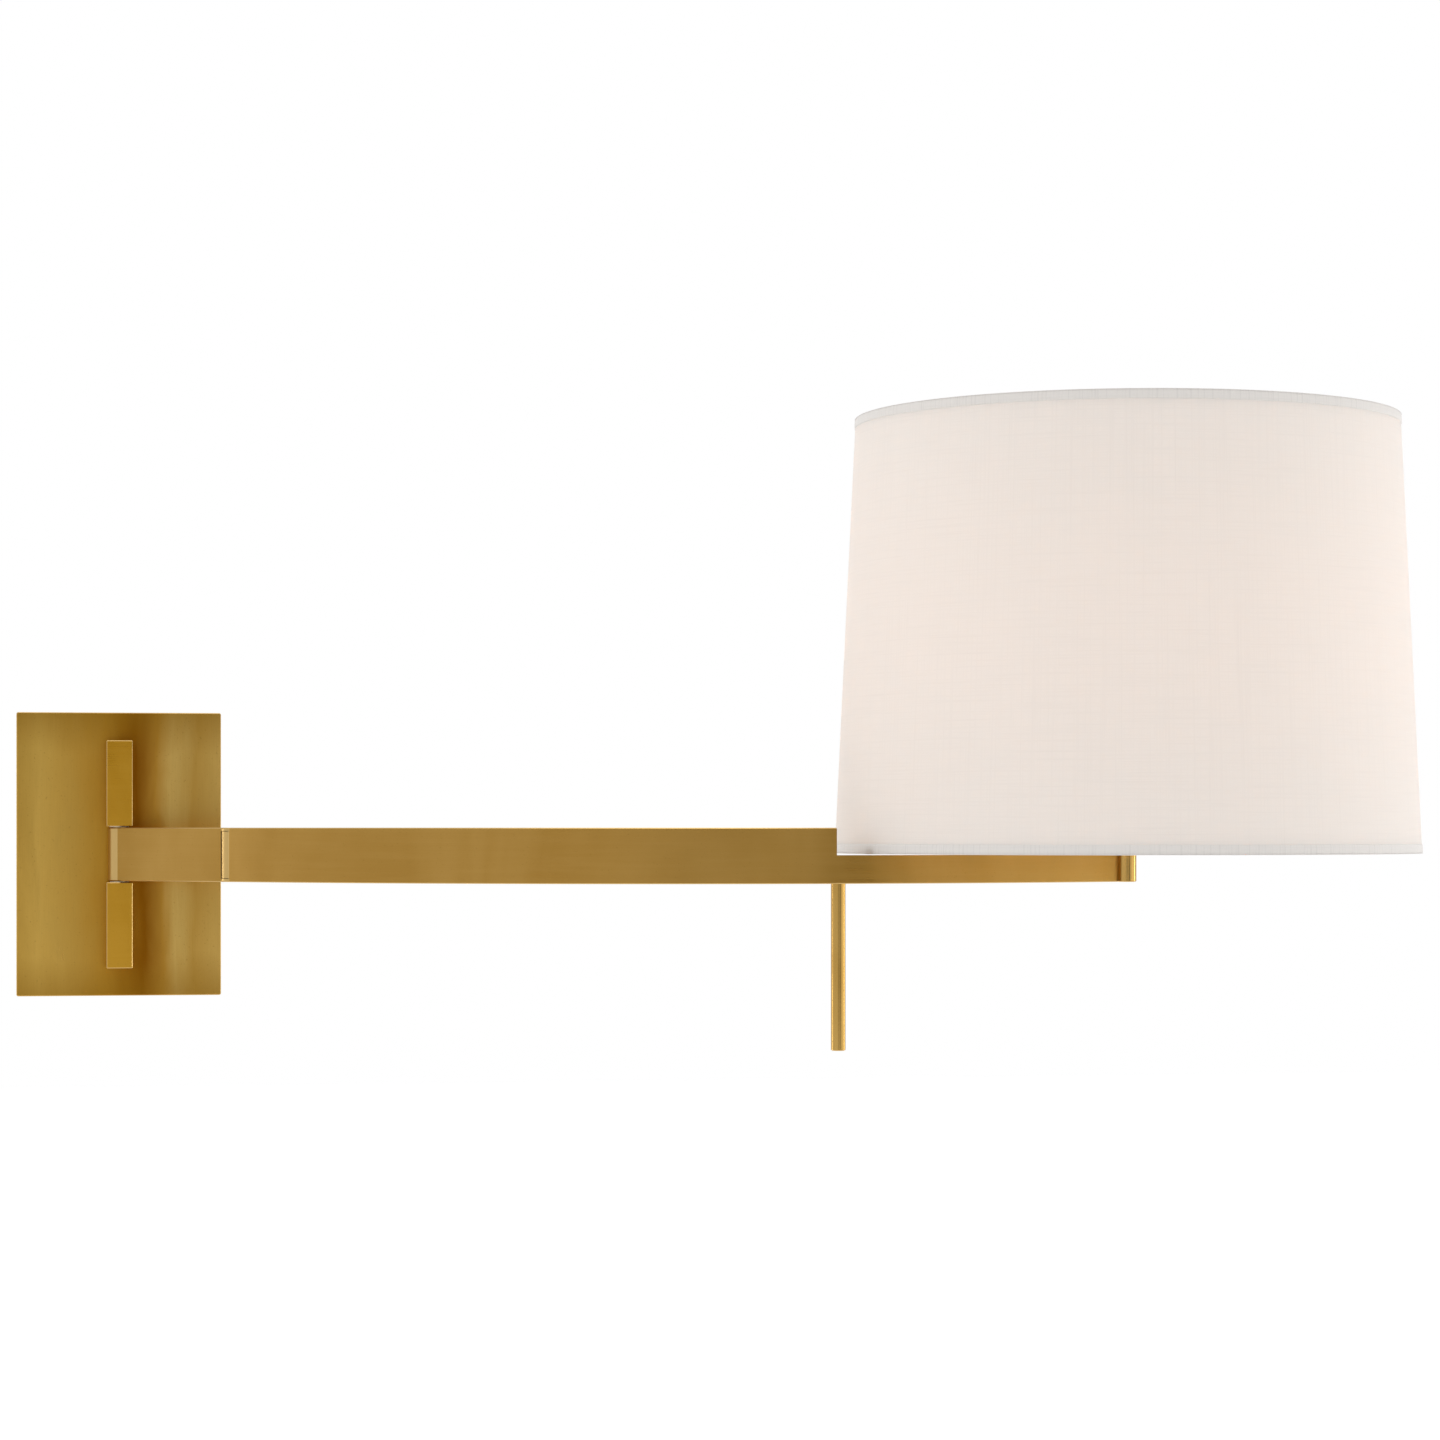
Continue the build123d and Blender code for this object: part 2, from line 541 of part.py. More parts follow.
# ================================================================ outer arm
# ---- outer arm: a curved flat hollow bar, full height up to the handle and low under the shade
with BuildPart() as outer_arm:
    with BuildSketch():
        add(arm_band(ARM_T, 0, STEP_STATION))
        with Locations((ELBOW.X, ELBOW.Y)):
            Circle(BARREL_R)
    extrude(amount=HALF_H, both=True)
    chamfer(outer_arm.faces().sort_by(Axis.Z)[-1].edges(), ARM_EASE)
    with BuildSketch(Plane.XY.offset(-HALF_H)):
        add(arm_band(ARM_T, STEP_STATION - ARM_WALL, ARM_LENGTH + POST_R))
    extrude(amount=HALF_H + TONGUE_TOP)
    chamfer(outer_arm.faces().sort_by(Axis.Z)[0].edges(), ARM_EASE)
    with BuildSketch(Plane.XY.offset(-HALF_H + ARM_WALL)):
        add(arm_band(ARM_T - 2 * ARM_WALL, BARREL_R + BODY_GAP + ARM_WALL, STEP_STATION - 2 * ARM_WALL))
    extrude(amount=ARM_H - 2 * ARM_WALL, mode=Mode.SUBTRACT)
    with BuildSketch(Plane.XY.offset(-HALF_H + ARM_WALL)):
        add(arm_band(ARM_T - 2 * ARM_WALL, STEP_STATION - 3 * ARM_WALL, ARM_LENGTH - POST_R - ARM_WALL))
    extrude(amount=HALF_H + TONGUE_TOP - 2 * ARM_WALL, mode=Mode.SUBTRACT)
    # room for the link's ears above and below the middle knuckle
    for side in (1, -1):
        with BuildSketch(Plane.XY.offset(side * HALF_H)):
            with Locations((ELBOW.X, ELBOW.Y)):
                Circle(BARREL_R + BODY_GAP)
        extrude(amount=-side * (EAR_H + BODY_GAP), mode=Mode.SUBTRACT)
    # bore for the elbow pin and the round seat of the end post
    with BuildSketch(Plane.XY.offset(-HALF_H)):
        with Locations((ELBOW.X, ELBOW.Y)):
            Circle(ELBOW_PIN_R + RUN_CLEAR)
        with Locations((POST.X, POST.Y)):
            Circle(POST_R)
    extrude(amount=ARM_H, mode=Mode.SUBTRACT)
    # holes that the lead passes through at both ends
    with BuildSketch(arm_plane(0)):
        Circle(LEAD_HOLE_R)
    extrude(amount=BARREL_R + BODY_GAP + 2 * ARM_WALL, mode=Mode.SUBTRACT)
    with BuildSketch(arm_plane(ARM_LENGTH, LEAD_Z)):
        Circle(LEAD_HOLE_R)
    extrude(amount=-POST_R - 2 * ARM_WALL, mode=Mode.SUBTRACT)
    with BuildSketch(Plane(origin=arm_point(ARM_LENGTH, LEAD_Z), z_dir=OUTWARD)):
        Circle(LEAD_HOLE_R)
    extrude(amount=ARM_T / 2, mode=Mode.SUBTRACT)
    # solid boss inside the bar for the handle's stud
    with BuildSketch(Plane(origin=arm_point(HANDLE_STATION, -HALF_H + ARM_WALL / 2))):
        Circle(HANDLE_BOSS_R)
    extrude(amount=BOSS_TOP - ARM_WALL / 2 + HALF_H)
    with BuildSketch(Plane(origin=arm_point(HANDLE_STATION, -HALF_H))):
        Circle(HANDLE_STUD_R)
    extrude(amount=BOSS_TOP + HALF_H, mode=Mode.SUBTRACT)
outer_arm.part.label = "outer_arm"
export_step(outer_arm.part, "parts/outer_arm.step")

# ---- handle rod: the plain rod under the arm that the hand swings it by, with a stud on top
with BuildPart() as handle_rod:
    with BuildSketch(Plane(origin=arm_point(HANDLE_STATION, -HALF_H))):
        Circle(HANDLE_R)
    extrude(amount=-HANDLE_L)
    chamfer(handle_rod.faces().sort_by(Axis.Z)[0].edges(), HANDLE_TIP_CHAMFER)
    with BuildSketch(Plane(origin=arm_point(HANDLE_STATION, -HALF_H))):
        Circle(HANDLE_STUD_R)
    extrude(amount=BOSS_TOP - ARM_WALL / 2 + HALF_H)
handle_rod.part.label = "handle_rod"
export_step(handle_rod.part, "parts/handle_rod.step")

# ---- end post: the round post at the arm's end that carries the lamp holder
with BuildPart() as end_post:
    with BuildSketch(at_post(-HALF_H)):
        Circle(POST_R)
    extrude(amount=ARM_H)
    chamfer(end_post.edges(), ARM_EASE)
    with BuildSketch(at_post(HALF_H)):
        Circle(NIPPLE_R)
    extrude(amount=NIPPLE_Z - HALF_H, mode=Mode.SUBTRACT)
    with BuildSketch(at_post(HALF_H)):
        Circle(LEAD_HOLE_R)
    extrude(amount=LEAD_Z - LEAD_HOLE_R - HALF_H, mode=Mode.SUBTRACT)
    with BuildSketch(Plane(origin=arm_point(ARM_LENGTH, LEAD_Z), z_dir=OUTWARD)):
        Circle(LEAD_HOLE_R)
    extrude(amount=ARM_T / 2, mode=Mode.SUBTRACT)
    with BuildSketch(arm_plane(ARM_LENGTH, LEAD_Z)):
        Circle(LEAD_HOLE_R)
    extrude(amount=-POST_R, mode=Mode.SUBTRACT)
end_post.part.label = "end_post"
export_step(end_post.part, "parts/end_post.step")

# ---- nipple: the threaded tube that joins post, saddle and socket cup
with BuildPart() as nipple:
    with BuildSketch(at_post(NIPPLE_Z)):
        Circle(NIPPLE_R)
        Circle(LEAD_HOLE_R, mode=Mode.SUBTRACT)
    extrude(amount=CUP_Z + 2 * CUP_T - NIPPLE_Z)
nipple.part.label = "nipple"
export_step(nipple.part, "parts/nipple.step")

# ---- lock nut: a hexagon nut that clamps the saddle down on the post
with BuildPart() as lock_nut:
    with BuildSketch(at_post(HALF_H)):
        RegularPolygon(NIPPLE_R + NUT_RIM, 6, major_radius=False)
        Circle(NIPPLE_R, mode=Mode.SUBTRACT)
    extrude(amount=NUT_H)
lock_nut.part.label = "lock_nut"
export_step(lock_nut.part, "parts/lock_nut.step")

# ---- harp saddle: a bent strip under the socket, with a drilled ear each side for the harp
with BuildPart() as harp_saddle:
    with BuildSketch(Plane(origin=POST - Vector(0, SADDLE_W / 2, 0), x_dir=(1, 0, 0), z_dir=(0, -1, 0))):
        with BuildLine() as saddle_line:
            FilletPolyline(
                (-SADDLE_REACH, SADDLE_Z + SADDLE_RISE),
                (-SADDLE_REACH, SADDLE_Z),
                (SADDLE_REACH, SADDLE_Z),
                (SADDLE_REACH, SADDLE_Z + SADDLE_RISE),
                radius=SADDLE_BEND_R,
            )
            offset(saddle_line.line, amount=SADDLE_T, side=Side.LEFT, closed=True, mode=Mode.REPLACE)
        make_face()
    extrude(amount=-SADDLE_W)
    with BuildSketch(at_post(SADDLE_Z)):
        Circle(NIPPLE_R)
    extrude(amount=SADDLE_T, mode=Mode.SUBTRACT)
harp_saddle.part.label = "harp_saddle"
export_step(harp_saddle.part, "parts/harp_saddle.step")

# ---- socket cup: the spun brass cap at the foot of the lamp holder
with BuildPart() as socket_cup:
    cup_plane = Plane(origin=POST, x_dir=(1, 0, 0), z_dir=(0, -1, 0))
    with BuildSketch(cup_plane):
        with BuildLine():
            Polyline(
                (NIPPLE_R, CUP_Z),
                (SOCKET_R * CUP_FOOT, CUP_Z),
                (SOCKET_R, SHELL_Z - SOCKET_WALL),
                (SOCKET_R, SHELL_Z),
                (SOCKET_R - SOCKET_WALL, SHELL_Z),
                (SOCKET_R * CUP_FOOT - SOCKET_WALL, CUP_Z + CUP_T),
                (NIPPLE_R, CUP_Z + CUP_T),
                close=True,
            )
        make_face()
    revolve(axis=POST_AXIS)
socket_cup.part.label = "socket_cup"
export_step(socket_cup.part, "parts/socket_cup.step")

# ---- socket shell: the beaded brass sleeve, slotted at the front for the switch
with BuildPart() as socket_shell:
    with BuildSketch(cup_plane):
        with Locations((SOCKET_R - SOCKET_WALL / 2, SHELL_Z + SOCKET_H / 2)):
            Rectangle(SOCKET_WALL, SOCKET_H)
        with Locations((SOCKET_R - SOCKET_WALL / 2, SHELL_Z + CORE_H), (SOCKET_R, SHELL_TOP - SOCKET_BEAD_R)):
            Circle(SOCKET_BEAD_R)
        with Locations((SOCKET_R - SOCKET_WALL - SOCKET_BEAD_R, SHELL_Z + SOCKET_H / 2)):
            Rectangle(2 * SOCKET_BEAD_R, SOCKET_H, mode=Mode.SUBTRACT)
    revolve(axis=POST_AXIS)
    with BuildSketch(Plane(origin=(POST.X, POST.Y, SWITCH_Z), x_dir=(1, 0, 0), z_dir=(0, -1, 0))):
        Circle(SWITCH_SHAFT_R + SWITCH_SLOT_CLEAR)
    extrude(amount=SOCKET_R + SOCKET_BEAD_R, mode=Mode.SUBTRACT)
socket_shell.part.label = "socket_shell"
export_step(socket_shell.part, "parts/socket_shell.step")

# ---- socket liner: the fibre sleeve between shell and core
with BuildPart() as socket_liner:
    with BuildSketch(at_post(SHELL_Z)):
        Circle(SOCKET_R - SOCKET_WALL)
        Circle(SOCKET_R - SOCKET_WALL - SOCKET_LINER_T, mode=Mode.SUBTRACT)
    extrude(amount=SOCKET_H)
    with BuildSketch(Plane(origin=(POST.X, POST.Y, SWITCH_Z), x_dir=(1, 0, 0), z_dir=(0, -1, 0))):
        Circle(SWITCH_SHAFT_R + SWITCH_SLOT_CLEAR)
    extrude(amount=SOCKET_R, mode=Mode.SUBTRACT)
socket_liner.part.label = "socket_liner"
export_step(socket_liner.part, "parts/socket_liner.step")

# ---- socket core: the moulded switch body, bored at the front for the switch shaft
with BuildPart() as socket_core:
    with BuildSketch(at_post(SHELL_Z)):
        Circle(CORE_R)
    extrude(amount=CORE_H)
    chamfer(socket_core.edges(), ARM_EASE)
    with BuildSketch(Plane(origin=(POST.X, POST.Y - CORE_R, SWITCH_Z), x_dir=(1, 0, 0), z_dir=(0, 1, 0))):
        Circle(SWITCH_SHAFT_R + RUN_CLEAR)
    extrude(amount=SWITCH_SHAFT_IN + BODY_GAP, mode=Mode.SUBTRACT)
socket_core.part.label = "socket_core"
export_step(socket_core.part, "parts/socket_core.step")

# ---- centre contact: the sprung brass tongue under the bulb's tip
with BuildPart() as centre_contact:
    with BuildSketch(at_post(CORE_TOP)):
        Circle(CONTACT_R)
    with BuildSketch(at_post(CORE_TOP + CONTACT_H)):
        Circle(CONTACT_R / 2)
    loft()
centre_contact.part.label = "centre_contact"
export_step(centre_contact.part, "parts/centre_contact.step")

# ---- screw shell: the thin threaded sleeve that the bulb's cap turns into
with BuildPart() as screw_shell:
    with BuildSketch(at_post(CORE_TOP)):
        Circle(SCREW_SHELL_R)
        Circle(SCREW_SHELL_R - SCREW_SHELL_WALL, mode=Mode.SUBTRACT)
    extrude(amount=SHELL_TOP - CORE_TOP - SOCKET_BEAD_R)
screw_shell.part.label = "screw_shell"
export_step(screw_shell.part, "parts/screw_shell.step")

# ---- arm lead: the sheathed lead along the outer arm, round into the post and up to the core
def quarter_turn(start, heading, towards, radius):
    """A quarter circle that leaves a point along one direction and ends along another, square to it."""
    centre = start + towards * radius
    middle = centre + (heading - towards) * (radius * sin(radians(45)))
    return ThreePointArc(start, middle, centre + heading * radius)


with BuildPart() as arm_lead:
    turn_r = ARM_T / 4
    turn_station = ARM_LENGTH - turn_r
    first_station = BARREL_R + BODY_GAP + 2 * ARM_WALL
    with BuildLine() as lead_route:
        along = ThreePointArc(
            arm_point(first_station, LEAD_Z),
            arm_point((first_station + turn_station) / 2, LEAD_Z),
            arm_point(turn_station, LEAD_Z),
        )
        onward = along % 1
        sideways = Vector(onward.Y, -onward.X, 0)
        aside = quarter_turn(along @ 1, onward, sideways, turn_r)
        rising = quarter_turn(aside @ 1, sideways, Vector(0, 0, 1), turn_r)
        Line(rising @ 1, (rising @ 1) + Vector(0, 0, SHELL_Z - (rising @ 1).Z))
    with BuildSketch(Plane(origin=lead_route.line @ 0, z_dir=lead_route.line % 0)):
        Circle(LEAD_R)
    sweep()
arm_lead.part.label = "arm_lead"
export_step(arm_lead.part, "parts/arm_lead.step")

# ---- switch: a shaft that turns in the core, with a fluted knob on its outer end
with BuildPart() as switch_shaft:
    shaft_end = (POST.X, POST.Y - CORE_R + SWITCH_SHAFT_IN, SWITCH_Z)
    with BuildSketch(Plane(origin=shaft_end, x_dir=(1, 0, 0), z_dir=(0, -1, 0))):
        Circle(SWITCH_SHAFT_R)
    extrude(amount=SWITCH_SHAFT_IN - CORE_R + SWITCH_REACH)
switch_shaft.part.label = "switch_shaft"
export_step(switch_shaft.part, "parts/switch_shaft.step")

with BuildPart() as switch_knob:
    knob_plane = Plane(origin=(POST.X, POST.Y - SWITCH_REACH, SWITCH_Z), x_dir=(1, 0, 0), z_dir=(0, -1, 0))
    with BuildSketch(knob_plane):
        Circle(SWITCH_KNOB_R)
        with PolarLocations(SWITCH_KNOB_R, SWITCH_FLUTES):
            Circle(SWITCH_KNOB_R / 8, mode=Mode.SUBTRACT)
    extrude(amount=SWITCH_KNOB_L)
    chamfer(switch_knob.faces().sort_by(Axis.Y)[0].edges(), ARM_EASE)
switch_knob.part.label = "switch_knob"
export_step(switch_knob.part, "parts/switch_knob.step")

# ================================================================ bulb
# ---- bulb cap: the screw base
with BuildPart() as bulb_cap:
    with BuildSketch(at_post(BULB_Z)):
        Circle(BULB_BASE_R / 2)
    with BuildSketch(at_post(BULB_Z + CONTACT_H)):
        Circle(BULB_BASE_R)
    loft()
    with BuildSketch(at_post(BULB_Z + CONTACT_H)):
        Circle(BULB_BASE_R)
    extrude(amount=BULB_BASE_H - CONTACT_H)
bulb_cap.part.label = "bulb_cap"
export_step(bulb_cap.part, "parts/bulb_cap.step")


def bulb_outline(inset):
    """The half section of the bulb's globe, inset from its outer surface."""
    globe_z = BULB_Z + BULB_L - BULB_R
    neck_z = BULB_Z + BULB_BASE_H
    radius = BULB_R - inset
    join_angle = degrees(asin((BULB_NECK_R + BULB_SHOULDER) / BULB_R))
    join = (radius * sin(radians(join_angle)), globe_z - radius * cos(radians(join_angle)))
    with BuildSketch(cup_plane) as section:
        with BuildLine():
            sphere = CenterArc((0, globe_z), radius, 90, join_angle - 180)
            Line(sphere @ 1, join)
            Line(join, (BULB_NECK_R - inset, neck_z))
            Line((BULB_NECK_R - inset, neck_z), (0, neck_z))
            Line((0, neck_z), (0, globe_z + radius))
        make_face()
    return section.sketch


# ---- bulb globe: the frosted glass, open where it sits in its cap
with BuildPart() as bulb_globe:
    add(bulb_outline(0))
    revolve(axis=POST_AXIS)
    add(bulb_outline(BULB_WALL))
    revolve(axis=POST_AXIS, mode=Mode.SUBTRACT)
bulb_globe.part.label = "bulb_globe"
export_step(bulb_globe.part, "parts/bulb_globe.step")

# ================================================================ shade and its carrier
# ---- harp: a bent wire that stands in the saddle's ears and rises round the bulb
with BuildPart() as harp:
    foot_x = SADDLE_REACH + HARP_WIRE_R
    with BuildLine(Plane(origin=POST, x_dir=(1, 0, 0), z_dir=(0, -1, 0))) as harp_line:
        FilletPolyline(
            (-foot_x, HARP_FOOT_Z),
            (-foot_x, HARP_FOOT_Z + SADDLE_RISE),
            (-HARP_HALF_W, HARP_FOOT_Z + SADDLE_RISE + HARP_FLARE_H),
            (-HARP_HALF_W, HARP_TOP_Z),
            (HARP_HALF_W, HARP_TOP_Z),
            (HARP_HALF_W, HARP_FOOT_Z + SADDLE_RISE + HARP_FLARE_H),
            (foot_x, HARP_FOOT_Z + SADDLE_RISE),
            (foot_x, HARP_FOOT_Z),
            radius=HARP_CORNER_R,
        )
    with BuildSketch(Plane(origin=harp_line.line @ 0, z_dir=harp_line.line % 0)):
        Circle(HARP_WIRE_R)
    sweep()
harp.part.label = "harp"
export_step(harp.part, "parts/harp.step")

# ---- harp sleeves: short tubes that lock the harp's feet to the saddle's ears
with BuildPart() as harp_sleeves:
    for side in (1, -1):
        foot = Vector(POST.X + side * foot_x, POST.Y, SADDLE_Z + SADDLE_RISE)
        with BuildSketch(Plane(origin=foot)):
            Circle(2 * HARP_WIRE_R)
            Circle(HARP_WIRE_R, mode=Mode.SUBTRACT)
        extrude(amount=SADDLE_RISE / 2)
harp_sleeves.part.label = "harp_sleeves"
export_step(harp_sleeves.part, "parts/harp_sleeves.step")

# ---- harp stud: the swivelling seat on top of the harp, with the stud for the finial
with BuildPart() as harp_stud:
    with BuildSketch(at_post(HUB_Z - STUD_BASE_H)):
        Circle(STUD_BASE_R)
    extrude(amount=STUD_BASE_H)
    with BuildSketch(at_post(HUB_Z)):
        Circle(STUD_R)
    extrude(amount=STUD_L)
    with BuildSketch(Plane(origin=(POST.X, POST.Y, HARP_TOP_Z), x_dir=(0, 1, 0), z_dir=(1, 0, 0))):
        Circle(HARP_WIRE_R)
    extrude(amount=STUD_BASE_R, both=True, mode=Mode.SUBTRACT)
harp_stud.part.label = "harp_stud"
export_step(harp_stud.part, "parts/harp_stud.step")

# ---- shade layers: styrene liner, linen cover and the rolled trims at both rims
LAYERS = (
    ("shade_liner", TRIM_T + LINEN_T, LINER_T, SHADE_BOTTOM + TRIM_T, SHADE_TOP - TRIM_T),
    ("shade_linen", TRIM_T, LINEN_T, SHADE_BOTTOM + TRIM_T, SHADE_TOP - TRIM_T),
)
for layer_name, inset, thickness, low, high in LAYERS:
    with BuildPart() as layer:
        add(cone_wall(inset, thickness, low, high))
        revolve(axis=POST_AXIS)
    layer.part.label = layer_name
    export_step(layer.part, f"parts/{layer_name}.step")

WALL_STACK = TRIM_T + LINEN_T + LINER_T
TRIMS = (
    ("bottom_trim", SHADE_BOTTOM, SHADE_BOTTOM + TRIM_H, SHADE_BOTTOM + TRIM_T),
    ("top_trim", SHADE_TOP, SHADE_TOP - TRIM_H, SHADE_TOP - TRIM_T),
)
for trim_name, rim, hem, seat in TRIMS:
    with BuildPart() as trim:
        add(cone_wall(0, TRIM_T, min(rim, hem), max(rim, hem)))
        add(cone_wall(WALL_STACK, TRIM_T, min(rim, hem), max(rim, hem)))
        add(cone_wall(0, WALL_STACK + TRIM_T, min(rim, seat), max(rim, seat)))
        revolve(axis=POST_AXIS)
    trim.part.label = trim_name
    export_step(trim.part, f"parts/{trim_name}.step")

# ---- bottom ring: the wire hoop inside the lower rim
with BuildPart() as bottom_ring:
    ring_z = SHADE_BOTTOM + TRIM_H - RING_WIRE_R
    ring_r = shade_radius(ring_z) - WALL_STACK - TRIM_T - RING_WIRE_R - RING_FIT
    with BuildSketch(cup_plane):
        with Locations((ring_r, ring_z)):
            Circle(RING_WIRE_R)
    revolve(axis=POST_AXIS)
bottom_ring.part.label = "bottom_ring"
export_step(bottom_ring.part, "parts/bottom_ring.step")

# ---- top ring: the wire hoop inside the upper rim
hoop_z = SHADE_TOP - TRIM_H + RING_WIRE_R
hoop_r = shade_radius(hoop_z) - WALL_STACK - TRIM_T - RING_WIRE_R - RING_FIT
with BuildPart() as top_ring:
    with BuildSketch(cup_plane):
        with Locations((hoop_r, hoop_z)):
            Circle(RING_WIRE_R)
    revolve(axis=POST_AXIS)
top_ring.part.label = "top_ring"
export_step(top_ring.part, "parts/top_ring.step")

# ---- spider: three arms, brazed to the top ring, down to a hub washer
with BuildPart() as spider:
    with BuildSketch(at_post(HUB_Z)):
        Circle(SPIDER_HUB_R)
    extrude(amount=SPIDER_HUB_T)
    hub_edge = SPIDER_HUB_R - RING_WIRE_R
    for turn in range(SPIDER_ARMS):
        heading = radians(90 + turn * 360 / SPIDER_ARMS)
        spoke = Vector(cos(heading), sin(heading), 0)
        near = POST + spoke * hub_edge + Vector(0, 0, HUB_Z + SPIDER_HUB_T / 2)
        far = POST + spoke * (hoop_r - RING_WIRE_R) + Vector(0, 0, hoop_z)
        with BuildSketch(Plane(origin=near, z_dir=far - near)):
            Circle(RING_WIRE_R)
        extrude(amount=(far - near).length)
    with BuildSketch(at_post(HUB_Z)):
        Circle(STUD_R)
    extrude(amount=SPIDER_HUB_T + RING_WIRE_R, mode=Mode.SUBTRACT)
spider.part.label = "spider"
export_step(spider.part, "parts/spider.step")

# ---- finial: the turned brass knob that clamps the spider to the harp
with BuildPart() as finial:
    finial_z = HUB_Z + SPIDER_HUB_T
    with BuildSketch(cup_plane):
        with BuildLine():
            Polyline(
                (0, finial_z),
                (FINIAL_R, finial_z),
                (FINIAL_R, finial_z + FINIAL_COLLAR_H),
                (FINIAL_R / 2, finial_z + 2 * FINIAL_COLLAR_H),
                (0, finial_z + FINIAL_H / 2),
                close=True,
            )
        make_face()
        with Locations((0, finial_z + FINIAL_H - FINIAL_BALL_R)):
            Circle(FINIAL_BALL_R)
        with Locations((-FINIAL_R, finial_z + FINIAL_H / 2)):
            Rectangle(2 * FINIAL_R, 2 * FINIAL_H, mode=Mode.SUBTRACT)
    revolve(axis=POST_AXIS)
    with BuildSketch(at_post(finial_z)):
        Circle(STUD_R)
    extrude(amount=STUD_TOP_Z - finial_z, mode=Mode.SUBTRACT)
finial.part.label = "finial"
export_step(finial.part, "parts/finial.step")
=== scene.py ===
"""Swing arm wall sconce: looks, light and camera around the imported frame.

Metres, in the frame of the CAD parts: +X right along the wall, +Y into it, +Z up.
"""
import json
import math

import bmesh
import bpy
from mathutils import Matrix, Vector


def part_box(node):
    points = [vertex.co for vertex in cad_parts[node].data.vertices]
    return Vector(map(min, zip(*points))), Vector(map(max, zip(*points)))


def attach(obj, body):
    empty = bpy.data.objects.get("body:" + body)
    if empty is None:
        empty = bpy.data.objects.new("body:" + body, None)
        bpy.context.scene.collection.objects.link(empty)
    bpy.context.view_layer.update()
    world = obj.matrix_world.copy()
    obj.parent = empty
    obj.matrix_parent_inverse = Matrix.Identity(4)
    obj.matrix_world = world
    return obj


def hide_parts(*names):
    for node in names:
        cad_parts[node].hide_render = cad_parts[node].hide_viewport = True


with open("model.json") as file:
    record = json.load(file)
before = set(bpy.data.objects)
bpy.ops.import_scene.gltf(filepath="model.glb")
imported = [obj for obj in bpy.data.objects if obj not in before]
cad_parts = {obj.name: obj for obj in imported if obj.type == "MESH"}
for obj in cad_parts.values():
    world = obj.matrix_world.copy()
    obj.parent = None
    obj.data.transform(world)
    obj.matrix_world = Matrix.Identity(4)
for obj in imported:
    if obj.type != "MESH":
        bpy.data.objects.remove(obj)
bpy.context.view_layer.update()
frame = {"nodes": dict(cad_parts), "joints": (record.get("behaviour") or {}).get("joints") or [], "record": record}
JOINTS = {joint["name"]: joint for joint in frame["joints"]}

# ---------------------------------------------------------------- camera
VIEW_ANGLE = math.radians(9.916)
CAMERA_DISTANCE = 2.376
HINGE_LEFT_OF_CENTRE = 0.3756
LENS = 94.98
SENSOR = 36.0
SHIFT_UP = 0.0748


def make_camera():
    """The camera stands level with the arm's top edge and looks a little to the right of square on."""
    data = bpy.data.cameras.new("camera")
    data.lens = LENS
    data.sensor_width = SENSOR
    data.shift_y = SHIFT_UP
    camera = bpy.data.objects.new("camera", data)
    hinge = Vector(JOINTS["wall_swing"]["pos_m"])
    forward = Vector((math.sin(VIEW_ANGLE), math.cos(VIEW_ANGLE), 0))
    right = Vector((math.cos(VIEW_ANGLE), -math.sin(VIEW_ANGLE), 0))
    camera.location = hinge - forward * CAMERA_DISTANCE + right * HINGE_LEFT_OF_CENTRE
    camera.location.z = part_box("inner_link")[1][2]
    camera.rotation_euler = (math.pi / 2, 0, -VIEW_ANGLE)
    bpy.context.scene.collection.objects.link(camera)
    bpy.context.scene.camera = camera


make_camera()


# ---------------------------------------------------------------- node helpers
def add_span(tree, value, low, high, out_low, out_high, smooth=False):
    """A value carried from one range to another."""
    node = tree.nodes.new("ShaderNodeMapRange")
    node.interpolation_type = "SMOOTHSTEP" if smooth else "LINEAR"
    sockets = ("From Min", "From Max", "To Min", "To Max")
    for socket, number in zip(sockets, (low, high, out_low, out_high)):
        node.inputs[socket].default_value = number
    tree.links.new(value, node.inputs["Value"])
    return node.outputs["Result"]


def add_maths(tree, operation, first, second=None):
    """One arithmetic step on values or sockets."""
    node = tree.nodes.new("ShaderNodeMath")
    node.operation = operation
    for index, value in enumerate((first, second)):
        if value is None:
            continue
        if isinstance(value, (int, float)):
            node.inputs[index].default_value = value
        else:
            tree.links.new(value, node.inputs[index])
    return node.outputs[0]


